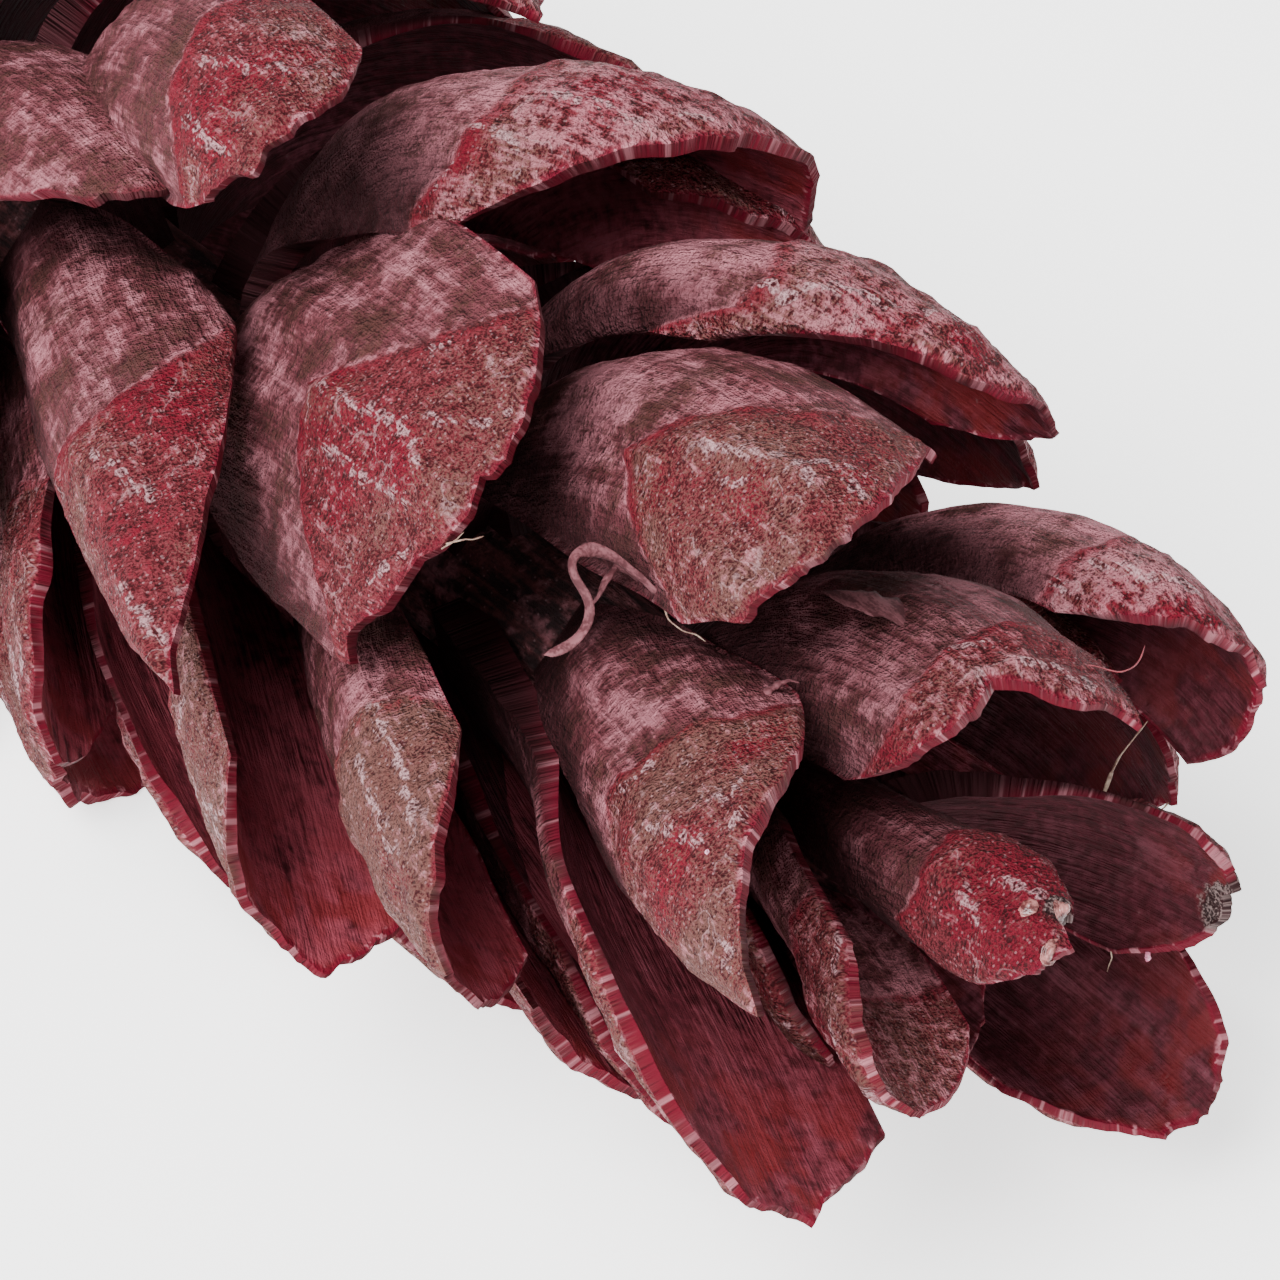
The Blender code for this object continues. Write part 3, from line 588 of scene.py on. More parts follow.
def shell_mesh(name, outer, inner, layers, grain):
    """Closed mesh of two grids and the rim between them. The first attribute holds the shield, the
    edge, the inner face and the reach, lowered on the outer face for the painted shade, the attribute
    tones the dye, the dust, the distance to a streak and the distance to the shield's start, the third
    attribute the bloom, the blackened resin and the painted shade of scales that others shade, which on
    the inner face is instead the painted light of a lighter wine red, with the inner face's painted
    shade in alpha, and the map grain the place in millimetres."""
    rows, columns = outer.shape[:2]
    count = rows * columns
    index = np.arange(count).reshape(rows, columns)
    a, b, c, d = index[:-1, :-1], index[:-1, 1:], index[1:, 1:], index[1:, :-1]
    top = np.stack([a, b, c, d], -1).reshape(-1, 4)
    bottom = np.stack([a, d, c, b], -1).reshape(-1, 4) + count
    loop = np.concatenate([index[0, :-1], index[:-1, -1], index[-1, :0:-1], index[:0:-1, 0]])
    after = np.roll(loop, -1)
    rim = np.stack([after, loop, loop + count, after + count], -1)
    faces = np.concatenate([top, bottom, rim])
    vertices = np.concatenate([outer.reshape(-1, 3), inner.reshape(-1, 3)])
    mesh = bpy.data.meshes.new(name)
    mesh.from_pydata(vertices, [], faces)
    mesh.shade_smooth()
    mesh.set_sharp_from_angle(angle=math.radians(55))
    for layer_name, values in layers.items():
        layer = mesh.color_attributes.new(layer_name, "FLOAT_COLOR", "POINT")
        layer.data.foreach_set("color", np.stack(values).astype(np.float32).ravel())
    corners = np.empty(len(mesh.loops), np.int32)
    mesh.loops.foreach_get("vertex_index", corners)
    uv = mesh.uv_layers.new(name="grain")
    uv.data.foreach_set("uv", np.tile(grain.reshape(-1, 2), (2, 1))[corners].astype(np.float32).ravel())
    piece = bpy.data.objects.new(name, mesh)
    bpy.context.scene.collection.objects.link(piece)
    return piece


def add_node(tree, kind, sockets=None, **settings):
    """Node of this kind with its settings, and a value or a linked output for each named input."""
    node = tree.nodes.new(kind)
    for key, value in settings.items():
        setattr(node, key, value)
    for key, value in (sockets or {}).items():
        if isinstance(value, bpy.types.NodeSocket):
            tree.links.new(value, node.inputs[key])
        else:
            node.inputs[key].default_value = value
    return node


def calculated(tree, operation, *values):
    """Result of a calculation on numbers or sockets."""
    return add_node(tree, "ShaderNodeMath", dict(enumerate(values)), operation=operation).outputs[0]


def between(tree, value, low, high):
    """Rise from 0 to 1 without a corner while the value goes from low to high."""
    return add_node(tree, "ShaderNodeMapRange", {"Value": value, "From Min": low, "From Max": high},
                    interpolation_type="SMOOTHSTEP").outputs["Result"]


def weighted(tree, *parts):
    """Sum of values, each times its weight."""
    total = 0.0
    for value, weight in parts:
        total = calculated(tree, "MULTIPLY_ADD", value, weight, total)
    return total


def blended(tree, share, first, second):
    """First colour going over into the second by the share."""
    return add_node(tree, "ShaderNodeMix", {0: share, 6: first, 7: second}, data_type="RGBA").outputs[2]


def stretched_noise(tree, vector, stretch, detail=2.0, flat=False):
    """Noise of a vector whose X, Y and Z are multiplied by the stretch, flat where Z has no part."""
    moved = add_node(tree, "ShaderNodeVectorMath", {0: vector, 1: stretch}, operation="MULTIPLY")
    noise = add_node(tree, "ShaderNodeTexNoise", noise_dimensions="2D" if flat else "3D")
    tree.links.new(moved.outputs[0], noise.inputs["Vector"])
    for socket, value in (("Scale", 1.0), ("Detail", detail), ("Roughness", 0.62), ("Distortion", 0.0)):
        noise.inputs[socket].default_value = value
    return noise.outputs[0]


def new_group(name, inputs, outputs):
    """Empty node group with its inputs and outputs, each a pair of name and socket type."""
    tree = bpy.data.node_groups.new(name, "ShaderNodeTree")
    for socket_name, kind in inputs:
        tree.interface.new_socket(socket_name, in_out="INPUT", socket_type=kind)
    for socket_name, kind in outputs:
        tree.interface.new_socket(socket_name, in_out="OUTPUT", socket_type=kind)
    return tree, tree.nodes.new("NodeGroupInput"), tree.nodes.new("NodeGroupOutput")


def fibre_group():
    """Fine lengthwise fibres and broader bands, from a place in mm with the fibres along Y."""
    tree, given, put = new_group("lengthwise_fibres", [("Grain", "NodeSocketVector")],
                                 [("Fine", "NodeSocketFloat"), ("Bands", "NodeSocketFloat")])
    fine = stretched_noise(tree, given.outputs["Grain"], (4.2, 0.35, 1), 2.5, True)
    bands = stretched_noise(tree, given.outputs["Grain"], (0.9, 0.12, 1), 2.0, True)
    tree.links.new(fine, put.inputs["Fine"])
    tree.links.new(bands, put.inputs["Bands"])
    return tree


def dust_group(name, flat):
    """Patches about 3 mm wide, a mottle of half a millimetre, fine grit and single grains, from a
    place in mm that is flat, as on a face, or has depth."""
    tree, given, put = new_group(name, [("Place", "NodeSocketVector")],
                                 [("Patches", "NodeSocketFloat"), ("Mottle", "NodeSocketFloat"),
                                  ("Grit", "NodeSocketFloat"), ("Specks", "NodeSocketFloat")])
    place = given.outputs["Place"]
    for socket, per_mm, detail in (("Patches", 0.33, 2.5), ("Mottle", 1.5, 2.5), ("Grit", 7.0, 1.0)):
        tree.links.new(stretched_noise(tree, place, (per_mm,) * 3, detail, flat), put.inputs[socket])
    cells = add_node(tree, "ShaderNodeTexVoronoi", voronoi_dimensions="2D" if flat else "3D")
    tree.links.new(place, cells.inputs["Vector"])
    cells.inputs["Scale"].default_value = 3.6
    grains = between(tree, cells.outputs["Distance"], 0.26, 0.12)
    kept = between(tree, add_node(tree, "ShaderNodeSeparateColor",
                                  {0: cells.outputs["Color"]}).outputs[0], 0.62, 0.7)
    tree.links.new(calculated(tree, "MULTIPLY", grains, kept), put.inputs["Specks"])
    return tree


def resin_group():
    """Whitish resin: broken streaks that stray by the mottle where the distance is small, and a
    faint net of cracks bent by the patches."""
    tree, given, put = new_group(
        "resin_lines", [("Grain", "NodeSocketVector"), ("Distance", "NodeSocketFloat"),
                        ("Reach", "NodeSocketFloat"), ("Mottle", "NodeSocketFloat"),
                        ("Patches", "NodeSocketFloat"), ("Fine", "NodeSocketFloat")],
        [("Lines", "NodeSocketFloat"), ("Net", "NodeSocketFloat")])
    grain, mottle, patches = (given.outputs[name] for name in ("Grain", "Mottle", "Patches"))
    wander = calculated(tree, "MULTIPLY", calculated(tree, "SUBTRACT", mottle, 0.5), 1.5)
    distance = calculated(tree, "MULTIPLY", given.outputs["Distance"], given.outputs["Reach"])
    strayed = calculated(tree, "ADD", distance, wander)
    streak = between(tree, calculated(tree, "ABSOLUTE", strayed), 0.24, 0.06)
    near = between(tree, distance, 0.75, 0.3)
    broken = between(tree, given.outputs["Fine"], 0.38, 0.50)
    lines = calculated(tree, "MULTIPLY", calculated(tree, "MULTIPLY", streak, near), broken)
    tree.links.new(lines, put.inputs["Lines"])
    bent = add_node(tree, "ShaderNodeCombineXYZ", {0: calculated(tree, "MULTIPLY", patches, 4.0),
                                                   1: calculated(tree, "MULTIPLY", mottle, 1.2)})
    shifted = add_node(tree, "ShaderNodeVectorMath", {0: grain, 1: bent.outputs[0]}, operation="ADD")
    squeezed = add_node(tree, "ShaderNodeVectorMath", {0: shifted.outputs[0], 1: (0.62, 0.34, 1)},
                        operation="MULTIPLY")
    cells = add_node(tree, "ShaderNodeTexVoronoi", feature="DISTANCE_TO_EDGE", voronoi_dimensions="2D")
    tree.links.new(squeezed.outputs[0], cells.inputs["Vector"])
    cells.inputs["Scale"].default_value = 1.0
    thin = between(tree, cells.outputs["Distance"], 0.045, 0.008)
    patchy = between(tree, patches, 0.52, 0.62)
    tree.links.new(calculated(tree, "MULTIPLY", thin, patchy), put.inputs["Net"])
    return tree


FIBRES = fibre_group()
DUST = dust_group("dust_on_scales", True)
DEEP_DUST = dust_group("dust_on_bark", False)
RESIN = resin_group()


def place_in_mm(tree):
    """The object's own coordinates times 1000, so a noise on them is counted in millimetres."""
    place = add_node(tree, "ShaderNodeTexCoord").outputs["Object"]
    return add_node(tree, "ShaderNodeVectorMath", {0: place, 1: (1000.0,) * 3},
                    operation="MULTIPLY").outputs[0]


def covered(tree, under, over, most, value, low, high):
    """Colour going over into another, at most by this share, while the value goes from low to high."""
    share = calculated(tree, "MULTIPLY", between(tree, value, low, high), most)
    return blended(tree, share, under, over)


def new_material(name, roughness):
    """New material of this roughness, with its node tree and its shader."""
    material = bpy.data.materials.new(name)
    material.use_nodes = True
    shader = material.node_tree.nodes["Principled BSDF"]
    shader.inputs["Roughness"].default_value = roughness
    return material, material.node_tree, shader


PLUM_BROWN = (0.044, 0.009, 0.011, 1)
MAUVE = (0.165, 0.041, 0.053, 1)
PINK_FROST = (0.400, 0.150, 0.180, 1)
GRIME = (0.055, 0.021, 0.015, 1)
RED_BROWN = (0.072, 0.004, 0.008, 1)
DULL_ROSE = (0.140, 0.022, 0.029, 1)
CRIMSON_DYE = (0.128, 0.001, 0.011, 1)
OLIVE_DUST = (0.108, 0.049, 0.040, 1)
DARK_GRIT = (0.020, 0.003, 0.004, 1)
RESIN_WHITE = (0.440, 0.255, 0.275, 1)
MARGIN_RED = (0.120, 0.001, 0.013, 1)
INNER_DARK = (0.030, 0.004, 0.006, 1)
INNER_PLUM = (0.088, 0.014, 0.023, 1)
INNER_SHEEN = (0.160, 0.046, 0.064, 1)
# Painted light: the lighter wine red of inner faces that stand in light
INNER_LIT_WINE = (0.240, 0.042, 0.060, 1)
INNER_RED = (0.120, 0.009, 0.010, 1)
# Painted shade: the near black of the root, the flanks and the scales that others shade
PAINTED_SHADE_BLACK = (0.024, 0.004, 0.006, 1)
TAR_BLACK = (0.010, 0.006, 0.006, 1)
TAR_GREY = (0.150, 0.110, 0.105, 1)


def scale_skin():
    """Dyed woody skin: mauve, frosted fibres up to the shield, a red shield under olive dust with
    whitish resin, a crimson margin, and a smoother plum inner face. Painted shade turns it near black
    towards the root, on the flanks and on scales that others shade, and painted light makes some inner
    faces a lighter wine red.
    All its noise lies on the grain map, which runs straight on across the rim, so the rim of a
    thick margin is striped."""
    material, tree, shader = new_material("scale_skin", 0.74)
    shader.inputs["Specular IOR Level"].default_value = 0.14
    marks_and_shade = add_node(tree, "ShaderNodeAttribute", attribute_name="marks_and_shade")
    tones = add_node(tree, "ShaderNodeAttribute", attribute_name="tones")
    wear_and_shade = add_node(tree, "ShaderNodeAttribute", attribute_name="wear_and_shade")
    (shield, edge, inside), (dye, dust, distance), (bloom, black, shade_or_lit_wine) = (
        add_node(tree, "ShaderNodeSeparateColor", {0: layer.outputs["Color"]}).outputs
        for layer in (marks_and_shade, tones, wear_and_shade))
    reach_with_shade = marks_and_shade.outputs["Alpha"]
    grain = add_node(tree, "ShaderNodeUVMap", uv_map="grain").outputs["UV"]
    fibres = add_node(tree, "ShaderNodeGroup", {"Grain": grain}, node_tree=FIBRES)
    fine, bands = fibres.outputs["Fine"], fibres.outputs["Bands"]
    dirt = add_node(tree, "ShaderNodeGroup", {"Place": grain}, node_tree=DUST)
    patches, mottle = dirt.outputs["Patches"], dirt.outputs["Mottle"]
    grit, specks = dirt.outputs["Grit"], dirt.outputs["Specks"]
    resin = add_node(tree, "ShaderNodeGroup", {
        "Grain": grain, "Distance": distance, "Reach": STREAK_REACH, "Mottle": mottle,
        "Patches": patches, "Fine": fine}, node_tree=RESIN)
    lines, net = resin.outputs["Lines"], resin.outputs["Net"]

    clouds = weighted(tree, (fine, 0.45), (mottle, 0.45), (patches, 0.5), (grit, 0.2))
    body = blended(tree, between(tree, clouds, 0.50, 1.06), PLUM_BROWN, MAUVE)
    frosting = weighted(tree, (mottle, 0.65), (bands, 0.6), (patches, 0.8), (fine, 0.35), (bloom, 0.3))
    body = covered(tree, body, PINK_FROST, 0.8, frosting, 1.17, 1.60)
    grimy = weighted(tree, (patches, -0.9), (mottle, 0.5), (grit, 0.7))
    body = covered(tree, body, GRIME, 0.7, grimy, 0.12, 0.36)

    base = weighted(tree, (grit, 0.7), (mottle, 0.7))
    front = blended(tree, between(tree, base, 0.52, 0.86), RED_BROWN, DULL_ROSE)
    dyed = weighted(tree, (dye, 1.0), (mottle, 1.9), (grit, 0.7))
    front = covered(tree, front, CRIMSON_DYE, 0.85, dyed, 1.72, 2.10)
    settled = weighted(tree, (dust, 1.0), (patches, 1.2), (grit, 1.6), (mottle, 0.9))
    front = covered(tree, front, OLIVE_DUST, 0.85, settled, 2.05, 2.75)
    smeared = weighted(tree, (fine, 0.8), (mottle, 1.1), (patches, 0.5), (bloom, 0.35))
    front = covered(tree, front, PINK_FROST, 0.65, smeared, 1.34, 1.70)
    gritty = weighted(tree, (grit, 0.8), (mottle, 0.6))
    front = covered(tree, front, DARK_GRIT, 0.7, gritty, 0.67, 0.50)
    front = blended(tree, calculated(tree, "MULTIPLY", specks, 0.30), front, RESIN_WHITE)
    front = blended(tree, calculated(tree, "MULTIPLY", net, 0.30), front, RESIN_WHITE)
    red_line = calculated(tree, "MULTIPLY", between(tree, tones.outputs["Alpha"], 0.62, 0.53),
                          between(tree, dyed, 1.3, 1.7))
    front = blended(tree, calculated(tree, "MULTIPLY", red_line, 0.8), front, CRIMSON_DYE)
    thinned = weighted(tree, (mottle, 0.6), (grit, 0.5))
    whitish = calculated(tree, "MULTIPLY", lines, between(tree, thinned, 0.32, 0.62))
    front = blended(tree, calculated(tree, "MULTIPLY", whitish, 0.85), front, RESIN_WHITE)
    outer = blended(tree, shield, body, front)
    from_start = calculated(tree, "ABSOLUTE", calculated(tree, "SUBTRACT", tones.outputs["Alpha"], 0.5))
    start = calculated(tree, "MULTIPLY", between(tree, from_start, 0.030, 0.006),
                       between(tree, mottle, 0.44, 0.6))
    outer = blended(tree, calculated(tree, "MULTIPLY", start, 0.5), outer, PINK_FROST)

    fuzzy = weighted(tree, (fine, 0.45), (mottle, 0.6))
    back = blended(tree, between(tree, fuzzy, 0.36, 0.72), INNER_DARK, INNER_PLUM)
    sheen = weighted(tree, (bands, 0.6), (fine, 0.3), (mottle, 0.4), (patches, 0.4))
    back = covered(tree, back, INNER_SHEEN, 0.6, sheen, 0.80, 1.12)
    # Painted light: a lighter wine red along the streaks of some inner faces
    lit_wine = calculated(tree, "MULTIPLY", shade_or_lit_wine, between(tree, sheen, 0.55, 0.95))
    back = blended(tree, lit_wine, back, INNER_LIT_WINE)
    ended = calculated(tree, "MULTIPLY", between(tree, reach_with_shade, 0.62, 0.92),
                       between(tree, patches, 0.40, 0.62))
    back = blended(tree, calculated(tree, "MULTIPLY", ended, 0.75), back, INNER_RED)
    # Painted shade: near black over the body of the outer face and over the inner face of scales that
    # others shade
    body_share = calculated(tree, "MULTIPLY_ADD", shield, -0.6, 1.0)
    shaded_body = calculated(tree, "MULTIPLY", shade_or_lit_wine, body_share)
    outer = blended(tree, shaded_body, outer, PAINTED_SHADE_BLACK)
    back = blended(tree, calculated(tree, "MULTIPLY", wear_and_shade.outputs["Alpha"], 0.85), back, PAINTED_SHADE_BLACK)
    both = blended(tree, inside, outer, back)
    rim = blended(tree, between(tree, mottle, 0.54, 0.66), MARGIN_RED, PINK_FROST)
    rim_share = calculated(tree, "MULTIPLY", between(tree, edge, 0.35, 0.95),
                           between(tree, patches, 0.30, 0.55))
    both = blended(tree, calculated(tree, "MULTIPLY", rim_share, 0.75), both, rim)
    crusty = weighted(tree, (grit, 0.7), (mottle, 0.6))
    tar = blended(tree, between(tree, crusty, 0.58, 0.80), TAR_BLACK, TAR_GREY)
    blackened = between(tree, weighted(tree, (black, 1.0), (mottle, 1.2)), 0.85, 1.25)
    both = blended(tree, calculated(tree, "MULTIPLY", blackened, 0.9), both, tar)
    # Painted shade: near black where the reach is small, at the root and on the flanks of the outer
    # face
    both = covered(tree, both, PAINTED_SHADE_BLACK, 0.85, reach_with_shade, 0.44, 0.04)
    tree.links.new(both, shader.inputs["Base Color"])

    tree.links.new(weighted(tree, (lines, -0.3), (inside, -0.10), (mottle, 0.2), (1.0, 0.68)),
                   shader.inputs["Roughness"])
    woody = calculated(tree, "MULTIPLY", calculated(tree, "MULTIPLY_ADD", shield, -0.6, 1.0), fine)
    crumbly = calculated(tree, "MULTIPLY", weighted(tree, (mottle, 2.2), (grit, 1.0)),
                         calculated(tree, "MULTIPLY_ADD", inside, -0.85, 1.0))
    height = weighted(tree, (woody, 0.8), (crumbly, 0.60))
    bump = add_node(tree, "ShaderNodeBump", {"Height": height, "Strength": 1.0, "Distance": 0.00040})
    tree.links.new(bump.outputs["Normal"], shader.inputs["Normal"])
    return material


scale_material = scale_skin()
scale_faces = {}
for number in range(FIRST_SCALE, LAST_SCALE + 1):
    surfaces = scale_surfaces(number)
    scale_faces[number] = surfaces[:2]
    scale = shell_mesh(f"scale_{number - FIRST_SCALE:02d}", *surfaces)
    scale.data.materials.append(scale_material)
    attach(scale, "root")
    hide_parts("pine_cone")

# The rachis is the woody spindle that carries the scales. Below them it goes over into a short
# stalk, broken off across its fibres, with a paler core inside the bark.
STALK_END = -70.0 * MM
STALK_RADIUS = 2.9 * MM
STALK_UNTIL = -65.0 * MM
RACHIS_FROM = -59.0 * MM
NARROWS_FROM = 28.0 * MM
RACHIS_END = 41.0 * MM
BLUNT_SHARE = 0.2
STALK_SIDES = 72
STALK_RINGS = 220
BREAK_RINGS = 14
RIDGE_HEIGHT = 0.22 * MM
SPLINTER = 0.9 * MM


def rachis_radius(x):
    """Stalk radius below the first scale, then the rachis, closing to a blunt point at the tip."""
    rachis = np.interp(x / PITCH, GROWTH[:, 0], GROWTH[:, 5])
    start = smooth(STALK_UNTIL, RACHIS_FROM, x)
    nearing = np.maximum((x - NARROWS_FROM) / (RACHIS_END - NARROWS_FROM), 0)
    end = np.sqrt(np.maximum(1 - nearing ** 2, BLUNT_SHARE ** 2))
    return (STALK_RADIUS + (rachis - STALK_RADIUS) * start) * end


def stalk_rings():
    """Rings of the spindle from the middle of its broken end to its tip. The radius carries
    lengthwise ridges of bark, and the broken end stands up in splinters along the axis."""
    turn = np.linspace(0, 2 * math.pi, STALK_SIDES, endpoint=False)[None, :]
    inside = np.linspace(0.06, 0.94, BREAK_RINGS)[:, None]
    x = np.concatenate([np.full(BREAK_RINGS, STALK_END),
                        np.linspace(STALK_END, RACHIS_END, STALK_RINGS)])[:, None]
    share = np.concatenate([inside, np.ones((STALK_RINGS, 1))])
    ridge = lattice_noise(71, 9 * np.cos(turn) + 20, 9 * np.sin(turn) + x / (6 * MM) + 20)
    flake = lattice_noise(72, 3 * np.cos(turn) + 20, 3 * np.sin(turn) + x / (2.5 * MM) + 30)
    lip = smooth(STALK_END, STALK_END + 0.6 * MM, x)
    radius = rachis_radius(x) * (0.93 + 0.07 * lip) + RIDGE_HEIGHT * (0.6 * ridge + 0.4 * flake - 1)
    broken = lattice_noise(73, 5 * share * np.cos(turn) + 20, 5 * share * np.sin(turn) + 20)
    broken += 0.6 * lattice_noise(74, 13 * share * np.cos(turn) + 30, 13 * share * np.sin(turn) + 30)
    near_end = (1 - smooth(STALK_END, STALK_END + 2 * MM, x)) * (1 - share ** 6)
    along, start, quarter = (
        np.array([axis_frame(value)[part] for value in x[:, 0]])[:, None] for part in range(3))
    centre = np.array([axis_point(value) for value in x[:, 0]])[:, None]
    ring = np.cos(turn)[..., None] * start + np.sin(turn)[..., None] * quarter
    splinters = SPLINTER * (0.5 + 0.3 * broken) * near_end
    points = centre + (share * radius)[..., None] * ring + splinters[..., None] * along
    return points, share, turn + 0 * x


def closed_rings(name, rings, core=None):
    """Closed mesh round a row of rings, with one vertex in the middle of either end. The attribute
    core tells the broken wood from the bark."""
    count, sides = rings.shape[:2]
    index = np.arange(count * sides).reshape(count, sides)
    after = np.roll(index, -1, axis=1)
    walls = np.stack([index[:-1], after[:-1], after[1:], index[1:]], -1).reshape(-1, 4)
    first, last = count * sides, count * sides + 1
    faces = walls.tolist()
    faces += [(first, b, a) for a, b in zip(index[0], after[0])]
    faces += [(last, a, b) for a, b in zip(index[-1], after[-1])]
    ends = [rings[0].mean(axis=0), rings[-1].mean(axis=0)]
    mesh = bpy.data.meshes.new(name)
    mesh.from_pydata(np.concatenate([rings.reshape(-1, 3), ends]), [], faces)
    mesh.shade_smooth()
    if core is not None:
        values = np.concatenate([core.ravel(), [1.0, 0.0]])
        layer = mesh.color_attributes.new("core", "FLOAT_COLOR", "POINT")
        layer.data.foreach_set("color", np.repeat(values, 4).astype(np.float32))
    piece = bpy.data.objects.new(name, mesh)
    bpy.context.scene.collection.objects.link(piece)
    return piece


FURROW = (0.018, 0.004, 0.005, 1)
BARK_RIDGE = (0.130, 0.030, 0.034, 1)
CORE_BROWN = (0.110, 0.026, 0.018, 1)
CORE_PALE = (0.330, 0.150, 0.110, 1)


def bark_and_core():
    """Furrowed dyed bark with dusty ridges, and the paler, splintered wood of the broken end."""
    material, tree, shader = new_material("bark_and_core", 0.8)
    place = place_in_mm(tree)
    core = add_node(tree, "ShaderNodeAttribute", attribute_name="core").outputs["Color"]
    core = add_node(tree, "ShaderNodeSeparateColor", {0: core}).outputs[0]
    furrows = stretched_noise(tree, place, (0.16, 1.3, 1.3), 3.0)
    dirt = add_node(tree, "ShaderNodeGroup", {"Place": place}, node_tree=DEEP_DUST)
    mottle, grit = dirt.outputs["Mottle"], dirt.outputs["Grit"]
    ridges = weighted(tree, (furrows, 0.8), (mottle, 0.3), (grit, 0.1))
    bark = blended(tree, between(tree, ridges, 0.50, 0.72), FURROW, BARK_RIDGE)
    dusted = weighted(tree, (mottle, 0.6), (dirt.outputs["Patches"], 0.7))
    bark = covered(tree, bark, PINK_FROST, 0.6, dusted, 0.66, 0.86)
    bark = blended(tree, calculated(tree, "MULTIPLY", dirt.outputs["Specks"], 0.3), bark, RESIN_WHITE)
    grainy = weighted(tree, (mottle, 0.6), (grit, 0.5))
    wood = blended(tree, between(tree, grainy, 0.44, 0.66), CORE_BROWN, CORE_PALE)
    torn = between(tree, weighted(tree, (core, 1.0), (mottle, 0.4)), 0.55, 0.75)
    both = blended(tree, torn, bark, wood)
    tree.links.new(both, shader.inputs["Base Color"])
    height = weighted(tree, (furrows, 1.2), (mottle, 0.6), (grit, 0.3))
    bump = add_node(tree, "ShaderNodeBump", {"Height": height, "Strength": 1.0, "Distance": 0.0004})
    tree.links.new(bump.outputs["Normal"], shader.inputs["Normal"])
    return material


spindle_points, spindle_share, spindle_turn = stalk_rings()
core_share = 1 - smooth(0.80, 0.94, spindle_share + 0 * spindle_turn)
rachis = closed_rings("rachis", spindle_points, core_share)
rachis.data.materials.append(bark_and_core())
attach(rachis, "root")
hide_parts("pine_cone")

# Threads caught in the margins, strips of wood torn along the grain, beads of resin and crumbs stand
# off the scales near the tip. Each is a narrow closed form that starts inside the scale it sits on.
STRAND_SIDES = 8
STRAND_STEPS = 36
SMOOTHINGS = 8

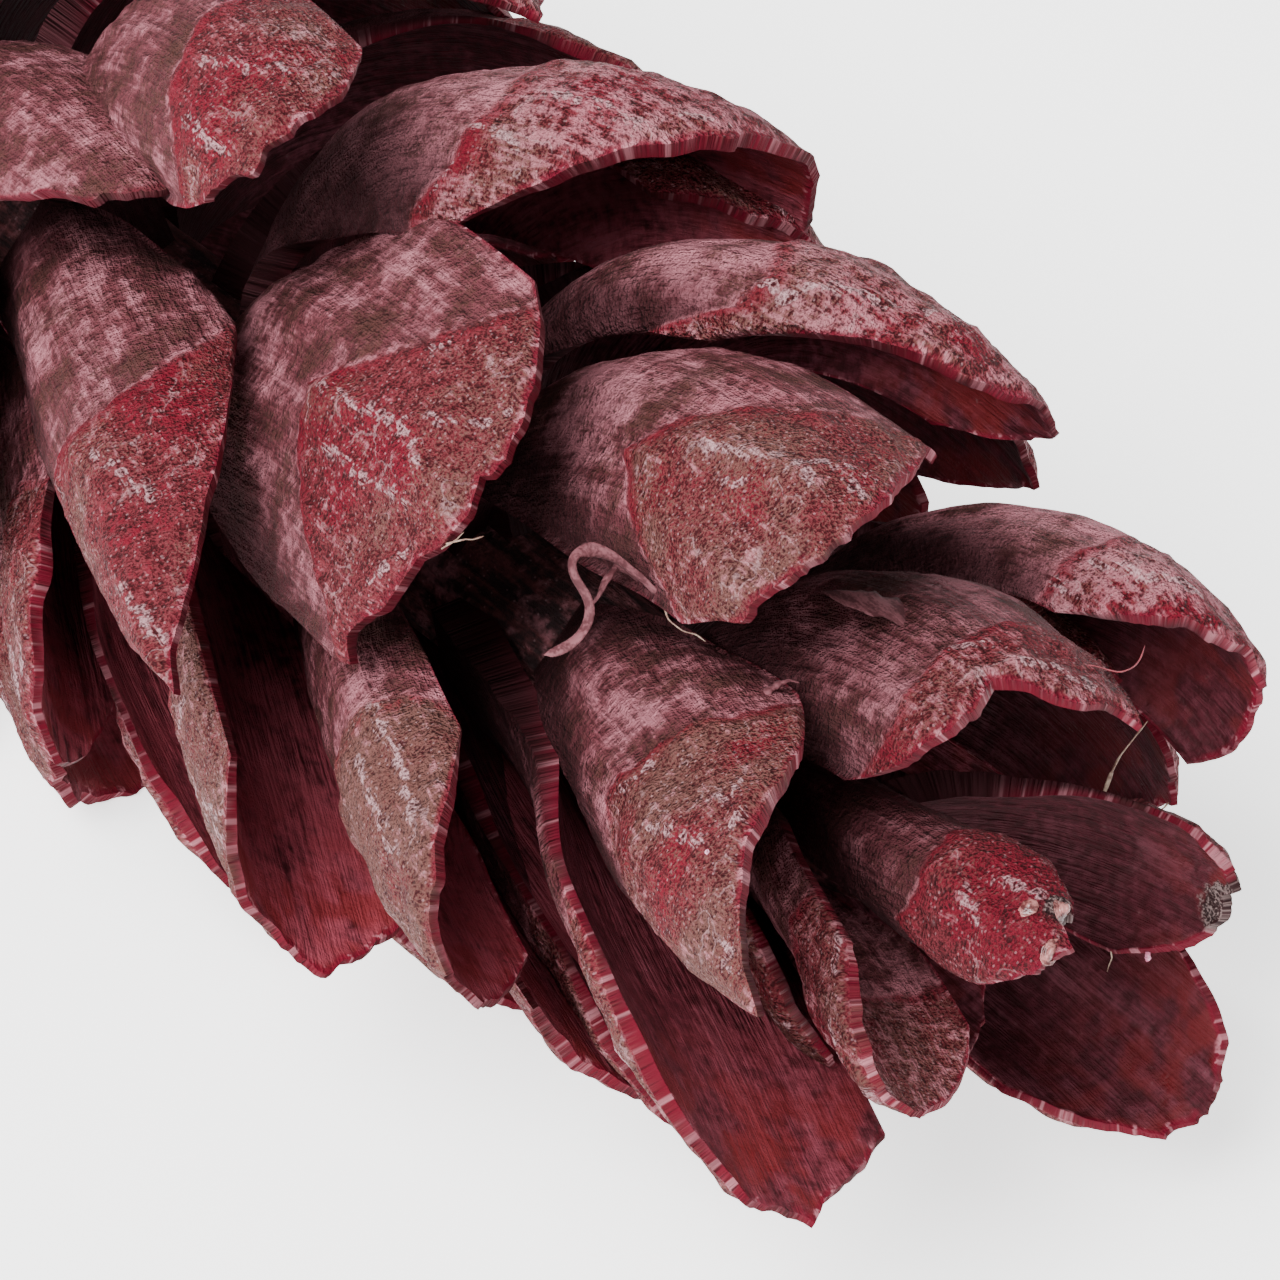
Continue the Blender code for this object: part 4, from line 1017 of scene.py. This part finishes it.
# Name, look, scale, reach and place across of the root on its outer face, the way on from there in
# mm, half width and half thickness in mm, and the two powers of its taper
STRANDS = (
    ("curled_strip", "torn", 8, 0.870, 0.967,
     ((-0.75, -0.14, 0.69), (-1.61, -0.44, 1.21), (-2.32, -0.9, 1.66), (-2.79, -1.35, 1.81),
      (-2.98, -1.91, 1.72), (-2.74, -2.36, 1.4), (-2.14, -2.43, 0.95), (-1.44, -2.31, 0.56),
      (-0.98, -2.52, 0.12), (-0.87, -3.09, -0.46), (-0.94, -3.7, -0.95), (-1.29, -4.27, -1.22),
      (-1.68, -4.7, -1.37)), 0.33, 0.10, 9, 0.5),
    ("torn_strip", "torn", 8, 0.793, 0.933,
     ((-0.92, -0.47, 0.45), (-0.79, -1.18, 0.17), (-0.53, -1.88, -0.18), (-0.53, -2.33, -0.34)),
     0.30, 0.10, 3, 0.6),
    ("spur_at_keel", "torn", 13, 0.772, -0.8,
     ((0.28, 0.51, 0.28), (0.58, 0.9, 0.47), (0.98, 1.08, 0.46)), 0.34, 0.14, 1.5, 0.8),
    ("torn_tongue", "torn", 16, 0.696, 0.067,
     ((-0.76, -0.73, 0.31), (-1.45, -1.33, 0.52), (-2.1, -1.84, 0.7), (-2.67, -2.26, 0.87)),
     1.05, 0.10, 1.3, 0.9),
    ("torn_rim", "torn", 22, 0.457, -0.067,
     ((0.32, 0.31, 0.19), (0.65, 0.7, 0.36), (0.93, 1.17, 0.41), (1.23, 1.49, 0.21)),
     0.25, 0.12, 4, 0.6),
    ("end_spur", "torn", 22, 0.957, 0.033, ((0.18, 0.21, 0.02), (0.36, 0.4, 0.02)),
     0.12, 0.08, 1.5, 0.8),
    ("red_thread", "red", 16, 0.891, -0.533,
     ((0.33, 0.15, 0.01), (0.83, 0.39, -0.03), (1.39, 0.7, -0.07), (1.73, 1.21, 0.17),
      (1.73, 1.59, 0.55), (1.58, 1.9, 0.86)), 0.035, 0.035, 8, 0.5),
    ("bridging_thread", "pale", 22, 0.674, 0.933,
     ((-0.19, 0.55, 0.62), (-0.4, 1.3, 1.1), (-0.49, 3.16, 1.94)), 0.075, 0.04, 12, 0.5),
    ("forked_thread", "pale", 22, 0.696, 0.433,
     ((0.06, 0.17, 0.21), (0.22, 0.37, 0.37), (0.37, 0.57, 0.53), (0.38, 0.86, 0.71)),
     0.045, 0.035, 6, 0.5),
    ("hanging_thread", "pale", 22, 0.989, -1.0,
     ((0.12, -0.1, -0.15), (0.19, -0.35, -0.35), (0.29, -0.56, -0.56)), 0.03, 0.03, 6, 0.5),
    ("bowed_thread", "pale", 8, 0.924, 1.0,
     ((0.6, -0.19, -0.11), (1.41, -0.07, -0.3), (1.84, 0.2, -0.29), (2.34, 0.28, -0.44)),
     0.04, 0.03, 8, 0.5),
    ("margin_thread", "pale", 0, 1.0, 0.133,
     ((0.47, 0.36, 0.19), (0.71, 0.59, 0.32), (0.95, 0.7, 0.36), (1.21, 1.13, 0.47)),
     0.035, 0.03, 8, 0.5),
    ("short_thread", "pale", 0, 1.0, 0.167, ((0.43, 0.58, 0.36), (0.48, 0.98, 0.59)),
     0.03, 0.03, 6, 0.5),
    ("resin_bead", "resin", 21, 0.978, -0.2, ((0.30, 0.25, 0.05), (0.42, 0.35, 0.05)),
     0.42, 0.36, 2, 0.5),
    ("resin_bulge", "resin", 21, 0.978, 0.167, ((0.20, 0.05, 0.02), (0.30, 0.08, 0.02)),
     0.50, 0.34, 2, 0.5),
    ("resin_crust", "resin", 21, 0.891, -0.033, ((0.05, -0.05, 0.18), (0.08, -0.08, 0.26)),
     0.45, 0.40, 2, 0.5),
    ("pink_crumb", "crumb", 22, 1.0, -0.833, ((0.10, -0.20, -0.10), (0.14, -0.32, -0.16)),
     0.14, 0.12, 3, 0.5),
    ("rose_crumb", "crumb", 13, 0.902, 0.1, ((0.03, -0.03, 0.12), (0.04, -0.04, 0.20)),
     0.13, 0.11, 3, 0.5),
)


def strand_rings(number, share, across_at, way, half_width, half_thickness, power, bluntness, seed):
    """Elliptic rings along a smoothed path that starts in the outer face of a scale. Their wide side
    lies along that face, and their size tapers as one minus a power of the share of the way."""
    outer, inner = scale_faces[number]
    row = round(share * (len(outer) - 1))
    column = round((across_at + 1) / 2 * (outer.shape[1] - 1))
    root, normal = outer[row, column], unit(outer[row, column] - inner[row, column])
    corners = np.vstack([-0.15 * normal, np.array(way)]) * MM + root
    run = np.concatenate([[0], np.cumsum(np.linalg.norm(np.diff(corners, axis=0), axis=1))])
    s = np.linspace(0, 1, STRAND_STEPS)
    path = np.stack([np.interp(s * run[-1], run, corners[:, axis]) for axis in range(3)], -1)
    for _ in range(SMOOTHINGS):
        path[1:-1] = (path[:-2] + 2 * path[1:-1] + path[2:]) / 4
    tangent = unit(np.gradient(path, axis=0))
    side = unit(np.cross(tangent, normal + 0.2 * tangent[0]))
    upright = np.cross(side, tangent)
    turn = np.linspace(0, 2 * math.pi, STRAND_SIDES, endpoint=False)[None, :]
    swell = 1 + 0.3 * lattice_noise(seed, s * 7 + 5, 0 * s)[:, None]
    swell = swell + 0.15 * lattice_noise(seed + 1, s[:, None] * 11 + 5, 2 * np.cos(turn) + 9)
    taper = (np.maximum(1 - s ** power, 0) ** bluntness)[:, None] + 0.04
    wide = half_width * MM * taper * swell * np.cos(turn)
    high = half_thickness * MM * taper * swell * np.sin(turn)
    return path[:, None] + wide[..., None] * side[:, None] + high[..., None] * upright[:, None]


def strand_skin(name, dark, light, roughness, stretch):
    """Streaky mix of two colours, for the threads, torn strips, resin and crumbs."""
    material, tree, shader = new_material(name, roughness)
    place = place_in_mm(tree)
    streaks = stretched_noise(tree, place, stretch, 3.0)
    grit = add_node(tree, "ShaderNodeGroup", {"Place": place}, node_tree=DEEP_DUST).outputs["Grit"]
    mixed = between(tree, weighted(tree, (streaks, 0.8), (grit, 0.3)), 0.46, 0.66)
    tree.links.new(blended(tree, mixed, dark, light), shader.inputs["Base Color"])
    bump = add_node(tree, "ShaderNodeBump", {"Height": streaks, "Strength": 1.0, "Distance": 0.0001})
    tree.links.new(bump.outputs["Normal"], shader.inputs["Normal"])
    return material


STRAND_SKINS = {
    "torn": strand_skin("torn_wood", (0.050, 0.004, 0.008, 1), (0.150, 0.045, 0.055, 1),
                        0.8, (0.9, 2.2, 0.9)),
    "red": strand_skin("red_fibre", (0.090, 0.004, 0.010, 1), (0.200, 0.020, 0.030, 1),
                        0.6, (0.9, 0.9, 0.9)),
    "pale": strand_skin("pale_fibre", (0.140, 0.070, 0.050, 1), (0.340, 0.240, 0.180, 1),
                        0.6, (0.9, 0.9, 0.9)),
    "resin": strand_skin("dried_resin", (0.060, 0.012, 0.012, 1), (0.330, 0.130, 0.120, 1),
                        0.3, (1.5, 1.5, 1.5)),
    "crumb": strand_skin("pink_crumb", (0.450, 0.120, 0.200, 1), (0.700, 0.380, 0.480, 1),
                        0.7, (2.5, 2.5, 2.5)),
}
for position, (strand_name, look, *measures) in enumerate(STRANDS):
    strand = closed_rings(strand_name, strand_rings(*measures, 8000 + 7 * position))
    strand.data.materials.append(STRAND_SKINS[look])
    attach(strand, "root")
    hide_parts("pine_cone")
